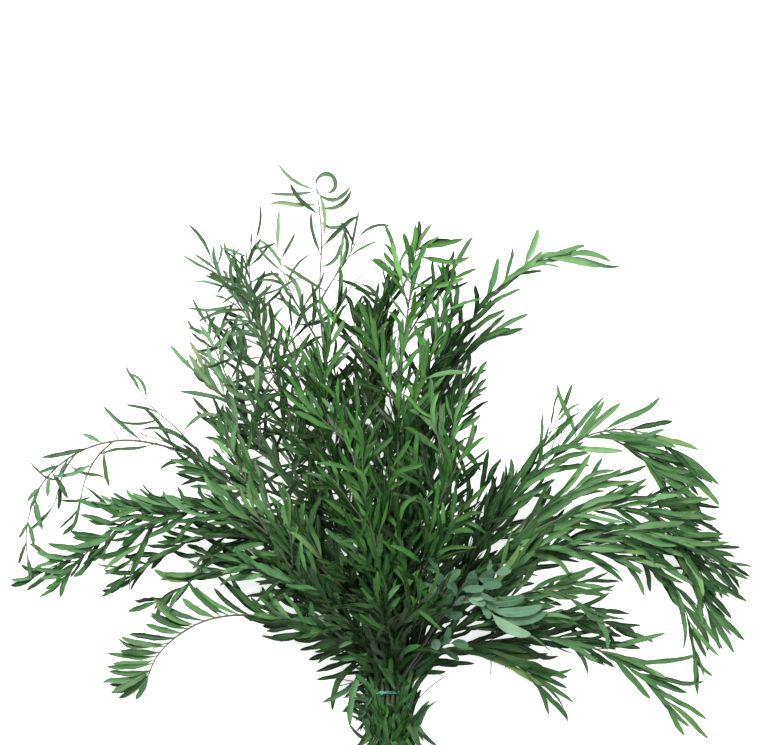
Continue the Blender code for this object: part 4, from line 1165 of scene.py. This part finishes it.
def fine_half_widths(leaf, stations):
    """Half the widths of a fine leaf: a slow start, a long even strap and a blunt tip."""
    blade = np.clip((stations - BLADE_FROM) / (1.0 - BLADE_FROM), 0.0, 1.0)
    widest, rounding = WIDENS
    start = np.sin(np.clip(blade / widest, 0.0, 1.0) * math.pi / 2) ** rounding
    narrowing, rounding, blunt = NARROWS
    end = (1.0 - np.clip((blade - narrowing) / (1.0 - narrowing), 0.0, 1.0) ** rounding) ** blunt
    at_root, shrinks = PETIOLE_SHRINKS
    petiole = PETIOLE_HALF_WIDTH * (at_root - shrinks * stations)
    return np.maximum(np.maximum(petiole, leaf.width / 2 * start * end), TIP_HALF_WIDTH)


def wave(draw, stations, turns):
    """A wave along a leaf with its own length and start."""
    return np.sin(2 * math.pi * draw.uniform(*turns) * stations + draw.uniform(*WAVE_STARTS))


def edge_waves(draw, stations, turns):
    """A wave for each half of a leaf."""
    return np.where(ACROSS < 0, wave(draw, stations, turns), wave(draw, stations, turns))


def fine_leaf(leaf, draw):
    """Rings of a fine leaf: folded along its rib, with waved edges and the rib proud underneath."""
    places = stations_of(leaf)
    middle, side, face = leaf.line(places)
    stations = places[:, None]
    sway = wave(draw, stations, SWAY)
    swing = draw.gauss(0.0, MEANDER) * leaf.length
    middle = middle + side * swing * (sway - sway[0]) * stations
    middle = middle + face * leaf.length * draw.gauss(0.0, ARCH) * stations**2
    calm = min(1.0, CALM_WIDTH / leaf.width) ** 3
    fold = draw.uniform(*FOLD) * calm
    lowest, highest = EDGE_HEIGHT
    height = draw.uniform(lowest, highest * leaf.width) * calm
    edges = edge_waves(draw, stations, EDGE_TURNS)
    notches = 1.0 + NOTCH_DEPTH * calm * edge_waves(draw, stations, NOTCH_TURNS)
    reach = ACROSS * fine_half_widths(leaf, places)[:, None] * notches
    blade = BLADE_RISE * (BLADE_THINS - stations) + np.abs(reach) * fold
    blade = blade + height * np.sin(math.pi * stations) * edges * ACROSS**2
    petiole = np.clip(1.0 - stations / PETIOLE_TO, 0.0, 1.0)
    rise = blade * (1.0 - petiole) + PETIOLE_RISE * petiole
    return middle[:, None, :] + side[:, None, :] * reach[:, :, None] + face[:, None, :] * rise[:, :, None]


def bark_rings(axis, sides):
    """Rings of a fine stem or twig, slimmer towards its tip than in the solid."""
    steps = max(FEWEST_STEPS, round(axis.length / STEM_STEP))
    draw = random.Random(f"{axis.name}/bark")
    rings = []
    for distance in np.linspace(0.0, axis.length, steps + 1):
        _, across, over = axis.frame(distance)
        slimmer = 1.0 - SLENDER * distance / axis.length
        radius = axis.radius(distance) * slimmer * draw.uniform(*BARK_VARIES)
        rings.append(axis.at(distance) + radius * circle(sides, over, across))
    return np.array(rings)


def cut_end(axis):
    """The bare wood at a stem's cut end, a thin disc inside its bark."""
    ahead, across, over = axis.frame(0.0)
    spokes = CUT_RADIUS * axis.radius(0.0) * circle(BARK_SIDES, over, across)
    return np.array([axis.at(0.0) + ahead * step + spokes for step in CUT_DEPTH])


def cover_leaves(stem):
    """Leaves that spring from the top of the stem and its twigs, and hide the bark from above."""
    kind = dict(stem.kind, spread=CLOSE_SPREAD)
    largest, smaller = COVER_SIZE
    for axis, start, end in stem.leafy_runs():
        count = round((end - start) / (COVER * stem.kind["spacing"]))
        for number in range(count):
            distance = start + (end - start) * (number + 0.5) / count
            _, across, over = axis.frame(distance)
            lean = random.Random(f"{axis.name}/cover/{number}").uniform(-LEAN, LEAN)
            size = largest - smaller * (distance / axis.length) ** 2
            outward = turned(over, across, lean)
            yield leaf_on(axis, f"cover{number}", 0, distance, 1, kind, size, outward)


def neck_leaves(stem):
    """Leaves close along the outermost stems at the neck, most of them hanging towards the cut ends."""
    count = round(NECK_LEAVES * (NECK_FEWER + stem.outward[2])) if stem.leafy_neck else 0
    for number in range(count):
        draw = random.Random(f"{stem.name}/hanging/{number}")
        distance = draw.uniform(NECK_FROM, NECK_TO)
        way = -1 if draw.random() < NECK_HANGING else 1
        ahead, across, _ = stem.axis.frame(distance)
        outward = unit(stem.outward + NECK_SIDEWAYS * draw.choice((-1, 1)) * across)
        along = unit(turned(way * ahead, outward, math.radians(draw.uniform(*CLOSE_SPREAD))))
        width_way = rolled(along, draw.uniform(-LEAN, LEAN))
        length = min(draw.uniform(*NECK_LENGTHS) * stem.kind["leaf"][1], distance + NECK_OVERHANG)
        width = draw.uniform(*stem.kind["width"])
        bend = draw.uniform(-NECK_BEND, NECK_BEND)
        curl = draw.uniform(*NECK_CURL)
        twist = draw.uniform(-TWIST, TWIST)
        yield Leaf(stem.axis, distance, along, width_way, length, width, bend, curl, twist)


def single_leaves(stem):
    """Leaves placed one by one along the stem."""
    for number, row in enumerate(SINGLE_LEAVES.get(stem.name, ())):
        yield leaf_by_hand(stem.axis, f"single{number}", 0, stem.kind, *row)


def twiglets(stem):
    """Dry leafless twigs, thin as wire, as rings of corners."""
    turns, reach = TWIGLET_WAVE
    for number, row in enumerate(TWIGLETS.get(stem.name, ())):
        length = row[2]
        lines = leaf_by_hand(stem.axis, f"dry{number}", 0, stem.kind, *row).line(LEAF_STATIONS)
        rings = []
        for station, middle, side, face in zip(LEAF_STATIONS, *lines):
            radius = TWIGLET_RADIUS * (1.0 - TWIGLET_THINS * station)
            middle = middle + side * math.sin(turns * station) * reach * length
            rings.append(middle + radius * circle(PLY_SIDES, side, face))
        yield np.array(rings)


def hides_tie(leaf):
    """True where a leaf would lie over the top of the tie."""
    middle = leaf.line(LEAF_STATIONS)[0]
    return ((np.abs(middle[:, :2]) < TIE_WINDOW).all(axis=1) & (middle[:, 2] > TIE_WINDOW_FROM)).any()


class PaintedShade:
    """How deep a leaf lies under the top of the bunch, for painted shade that makes inner leaves darker."""

    def __init__(self, leaves):
        self.top = {}
        for leaf in leaves:
            for point in leaf.line(SHADE_POINTS)[0]:
                cell = tuple(np.round(point[:2] / SHADE_CELL))
                self.top[cell] = max(self.top.get(cell, 0.0), point[2])

    def depth(self, leaf):
        """From 0 at the top to 1 deep inside."""
        point = leaf.line(0.5)[0]
        cell = np.round(point[:2] / SHADE_CELL)
        around = [self.top.get((cell[0] + i, cell[1] + j), 0.0) for i in (-1, 0, 1) for j in (-1, 0, 1)]
        return limited((max(around) - point[2]) / SHADE_DEPTH)


def leaves_of(stem):
    """Every leaf of the finished stem, first those that the solid holds."""
    others = [leaf_of(0) for _, solid, leaf_of in stem.all_leaves() if not solid]
    extra = [*others, *cover_leaves(stem), *neck_leaves(stem), *single_leaves(stem)]
    for leaf in extra:
        raise_leaf(leaf)
    return stem.leaves + [leaf for _, leaf in stem.twigs] + [leaf for leaf in extra if not hides_tie(leaf)]


def dress(stem, leaves, shade, materials):
    """The fine leafy stem that stands for the stem's node."""
    piece = Piece()
    piece.add_round(bark_rings(stem.axis, BARK_SIDES), BARK)
    piece.add_round(cut_end(stem.axis), WOOD)
    for twig, _ in stem.twigs:
        piece.add_round(bark_rings(twig, TWIG_BARK_SIDES), BARK, TWIG_BARK_FROM)
    for rings in twiglets(stem):
        piece.add_round(rings, BARK, 1.0)
    stem_tint = random.Random(f"{stem.name}/shade").gauss(*STEM_TINT)
    for number, leaf in enumerate(leaves):
        draw = random.Random(f"{stem.name}/fine/{number}")
        # Painted shade: the tint drops the deeper the leaf lies under the top of the bunch
        tint = draw.gauss(stem_tint, LEAF_TINT) - PAINTED_SHADE_TINT * shade.depth(leaf)
        tint = limited(tint, high=LIGHTEST_TINT)
        hue = limited(draw.gauss(MIDDLE_HUE, HUE_SPREAD[stem.table["kind"]]))
        piece.add(fine_leaf(leaf, draw), LEAF, ACROSS, stations_of(leaf), tint, hue)
    thing = piece.build(stem.name.replace("stem", "leafy"), materials)
    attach(thing, "root")
    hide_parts(stem.name)


def twine_rings(points, radius):
    """Rings round a line of points, as twine that runs along it."""
    rings = []
    ahead = np.gradient(points, axis=0)
    across = unit(np.cross(ahead[0], SKEW))
    for point, way in zip(points, ahead):
        way = unit(way)
        across = unit(across - way * (across @ way))
        rings.append(point + radius * circle(PLY_SIDES, across, np.cross(across, way)))
    return np.array(rings)


def add_twine(piece, path, outward):
    """Two plies of twine, twisted round each other along a path."""
    arc = arc_lengths(path)
    turns = round(arc[-1] / PLY_PITCH)
    for start in (0.0, math.pi):
        angle = 2 * math.pi * turns * arc / arc[-1] + start
        ply = path + PLY_OFFSET * turned(outward, ALONG_Y, angle[:, None])
        piece.add_round(twine_rings(ply, PLY_RADIUS), 0)


def dress_tie(material):
    """The tie as twisted twine: two turns round the bundle, and a knot with cut ends."""
    piece = Piece()
    line = tie_line()
    corners = [np.concatenate(pair) for pair in line + line[:1]]
    looped = read_between(np.linspace(0.0, TIE_CORNERS, TURN_SAMPLES), np.arange(TIE_CORNERS + 1), corners)
    for offset in (-TURN_OFFSET, TURN_OFFSET):
        add_twine(piece, looped[:, :3] + offset * ALONG_Y, looped[:, 3:])
    middle, out = knot_middle()
    sideways = np.cross(out, ALONG_Y)
    turn = np.linspace(0.0, 2 * math.pi, KNOT_SAMPLES)
    knot = np.outer(np.sin(turn) + 2 * np.sin(2 * turn), sideways)
    knot = knot + np.outer(np.cos(turn) - 2 * np.cos(2 * turn), ALONG_Y)
    knot = knot - np.outer(np.sin(3 * turn), out)
    piece.add_round(twine_rings(middle + KNOT_SCALE * knot, KNOT_TWINE), 0)
    reach = np.linspace(0.0, 1.0, TAIL_SAMPLES)[:, None]
    rise, arch = TAIL_RISE
    to_side, back = TAIL_REACH
    for way in (-1, 1):
        tail = middle + out * (rise + arch * np.sin(math.pi * reach)) + ALONG_Y * way * TAIL_START
        add_twine(piece, tail + way * (sideways * to_side - ALONG_Y * back) * reach, out)
    thing = piece.build("twine_tie", [material])
    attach(thing, "root")
    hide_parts("tie_band")


class Nodes:
    """A material's node tree, built with short calls."""

    def __init__(self, name):
        self.material = bpy.data.materials.new(name)
        self.material.use_nodes = True
        self.tree = self.material.node_tree

    def feed(self, node, inputs):
        """Feeds inputs, named or in turn, with what other nodes give, numbers or colours."""
        for key, value in inputs.items() if isinstance(inputs, dict) else enumerate(inputs):
            socket = node.inputs[key]
            if isinstance(value, bpy.types.NodeSocket):
                self.tree.links.new(value, socket)
            else:
                socket.default_value = (*value, 1.0) if socket.type == "RGBA" else value

    def node(self, kind, inputs=(), **settings):
        """A new node with these settings and inputs."""
        node = self.tree.nodes.new("ShaderNode" + kind)
        for key, value in settings.items():
            setattr(node, key, value)
        self.feed(node, inputs)
        return node

    def read(self, name):
        """One of the values stored on the mesh."""
        return self.node("Attribute", attribute_name=name).outputs["Fac"]

    def math(self, operation, *values):
        return self.node("Math", values, operation=operation).outputs[0]

    def times(self, a, b):
        return self.math("MULTIPLY", a, b)

    def plus(self, a, b):
        return self.math("ADD", a, b)

    def fade(self, value, low, high, to_low=0.0, to_high=1.0):
        """The value moved smoothly from one range to another."""
        ranges = (value, low, high, to_low, to_high)
        return self.node("MapRange", ranges, interpolation_type="SMOOTHSTEP").outputs[0]

    def noise(self, scale, detail=3.0):
        place = self.node("TexCoord").outputs["Object"]
        return self.node("TexNoise", {"Vector": place, "Scale": scale, "Detail": detail}).outputs["Fac"]

    def spread(self, noise, middle, share):
        """A value that the noise moves to both sides of its middle."""
        return self.math("MULTIPLY_ADD", self.math("SUBTRACT", noise, 0.5), share, middle)

    def touch(self, colour, mask, tone, share):
        """The colour with a share of another tone where the mask is 1."""
        return self.mix(self.times(mask, share), colour, tone)

    def ramp(self, value, stops):
        node = self.node("ValToRGB", (value,))
        elements = node.color_ramp.elements
        while len(elements) < len(stops):
            elements.new(0.5)
        for element, (position, colour) in zip(elements, stops):
            element.position = position
            element.color = (*colour, 1.0)
        return node.outputs["Color"]

    def mix(self, factor, a, b, blend="MIX"):
        node = self.node("Mix", data_type="RGBA", blend_type=blend)
        colours = [place for place, socket in enumerate(node.inputs) if socket.type == "RGBA"]
        self.feed(node, {"Factor": factor, colours[0]: a, colours[1]: b})
        return next(socket for socket in node.outputs if socket.type == "RGBA")

    def relief(self, height, strength, depth):
        node = self.node("Bump", {"Strength": strength, "Distance": depth, "Height": height})
        return node.outputs["Normal"]

    def finish(self, inputs):
        """The material, with these inputs of its surface."""
        self.feed(self.tree.nodes["Principled BSDF"], inputs)
        return self.material


def leaf_material(kind):
    """A leaf: its own tint, darkened by painted shade on leaves deep in the bunch, a pale rib and fine side
    veins, a dry tip, and a paler dull underside.
    """
    nodes = Nodes(f"leaf {kind}")
    across = nodes.math("ABSOLUTE", nodes.read("across"))
    along = nodes.read("along")
    tint = nodes.read("tint")
    under = nodes.read("under")
    blotch = nodes.noise(scale=90.0)
    colour = nodes.ramp(nodes.spread(blotch, tint, share=0.5), LEAF_TONES[kind])
    colour = nodes.mix(1.0, colour, nodes.mix(nodes.read("hue"), WARM, COOL), "MULTIPLY")
    rib = nodes.fade(across, low=0.02, high=0.12, to_low=1.0, to_high=0.0)
    slant = nodes.math("SUBTRACT", nodes.times(along, VEINS), nodes.times(across, VEIN_SLANT))
    vein = nodes.fade(nodes.math("PINGPONG", slant, 0.5), low=0.0, high=0.16, to_low=1.0, to_high=0.0)
    dry = nodes.times(nodes.fade(along, low=0.86, high=1.0), nodes.fade(tint, low=0.45, high=0.9))
    colour = nodes.touch(colour, rib, RIB_TONE, share=0.4)
    colour = nodes.touch(colour, vein, RIB_TONE, share=0.16)
    colour = nodes.touch(colour, dry, DRY_TONE, share=0.4)
    colour = nodes.mix(under, colour, nodes.mix(UNDER_SHARE, colour, UNDER_TONE))
    rough = nodes.math("MULTIPLY_ADD", under, UNDER_ROUGH, LEAF_ROUGH)
    height = nodes.plus(nodes.times(vein, -0.5), nodes.plus(nodes.times(rib, -0.8), blotch))
    return nodes.finish({
        "Base Color": colour,
        "Roughness": nodes.math("MULTIPLY_ADD", blotch, BLOTCH_ROUGH, rough),
        "Specular IOR Level": 0.16,
        "Normal": nodes.relief(height, strength=0.35, depth=0.0004),
    })


def bark_material():
    """Bark: grey-brown at the cut end, olive and red-brown towards the tips, with fine streaks."""
    nodes = Nodes("bark")
    grain = nodes.noise(scale=420.0, detail=4.0)
    colour = nodes.ramp(nodes.spread(grain, nodes.read("along"), share=0.6), BARK_TONES)
    relief = nodes.relief(grain, strength=0.5, depth=0.0006)
    return nodes.finish({"Base Color": colour, "Roughness": 0.65, "Normal": relief})


def wood_material():
    """Fresh cut wood, pale and a little green, darker towards its pith."""
    nodes = Nodes("cut wood")
    return nodes.finish({"Base Color": nodes.ramp(nodes.noise(scale=900.0), WOOD_TONES), "Roughness": 0.8})


def twine_material():
    """Teal twine: matte fibres, worn paler where they stand proud."""
    nodes = Nodes("tie twine")
    fibre = nodes.noise(scale=1400.0, detail=4.0)
    relief = nodes.relief(fibre, strength=0.6, depth=0.0002)
    looks = {"Base Color": nodes.ramp(fibre, TWINE_TONES), "Roughness": 0.75, "Sheen Weight": 0.25}
    return nodes.finish({**looks, "Normal": relief})


def floor_material():
    """White ground that glows a little, as a photographer's table does."""
    looks = {"Base Color": (0.9, 0.9, 0.9), "Roughness": 0.8}
    return Nodes("floor").finish({**looks, "Emission Color": WHITE, "Emission Strength": FLOOR_GLOW})


def set_stage():
    """Pale floor, soft lights and the camera, which looks straight down as the photo looks at the bunch."""
    scene = bpy.context.scene
    floor = bpy.data.meshes.new("floor")
    corners = [(x * FLOOR_REACH, y * FLOOR_REACH, 0) for x, y in ((-1, -1), (1, -1), (1, 1), (-1, 1))]
    floor.from_pydata(corners, [], [(0, 1, 2, 3)])
    floor.materials.append(floor_material())
    ground = add_object("floor", floor)
    scene.world = bpy.data.worlds.new("studio")
    scene.world.use_nodes = True
    sky = scene.world.node_tree.nodes["Background"]
    sky.inputs["Color"].default_value = (*WHITE, 1.0)
    sky.inputs["Strength"].default_value = WORLD_STRENGTH
    for number, (place, size, power) in enumerate(LIGHTS):
        lamp = bpy.data.lights.new(f"softbox {number}", "AREA")
        lamp.size = size
        lamp.energy = power
        holder = add_object(f"softbox {number}", lamp)
        holder.location = place
        holder.rotation_euler = (-Vector(place)).to_track_quat("-Z", "Y").to_euler()
    eye = bpy.data.cameras.new("camera")
    eye.sensor_width = SENSOR_WIDTH
    eye.lens = SENSOR_WIDTH * (EYE_HEIGHT - FOCUS_HEIGHT) / VIEW_WIDTH
    camera = add_object("camera", eye)
    camera.location = (*(np.array(VIEW_CENTRE) * METRES + PLACE[:2]), EYE_HEIGHT)
    bpy.context.scene.camera = camera
    scene.view_settings.view_transform = "Standard"


def foot(low, high):
    """The middle of a box's underside."""
    return np.array(((low[0] + high[0]) / 2, (low[1] + high[1]) / 2, low[2]))


def drawing_to_part():
    """How far the part lies from the place it is drawn at in this file, in metres."""
    corners = np.concatenate((tie_shape()[0], knot_shape()[0])) * METRES
    return foot(*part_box("tie_band")) - foot(corners.min(axis=0), corners.max(axis=0))


PLACE = drawing_to_part()
stems = grow_bunch()
foliage = [leaves_of(stem) for stem in stems]
shade = PaintedShade(leaf for leaves in foliage for leaf in leaves)
leaf_materials = {kind: leaf_material(kind) for kind in KINDS}
bark = bark_material()
wood = wood_material()
for stem, leaves in zip(stems, foliage):
    dress(stem, leaves, shade, [leaf_materials[stem.table["kind"]], bark, wood])
dress_tie(twine_material())
set_stage()
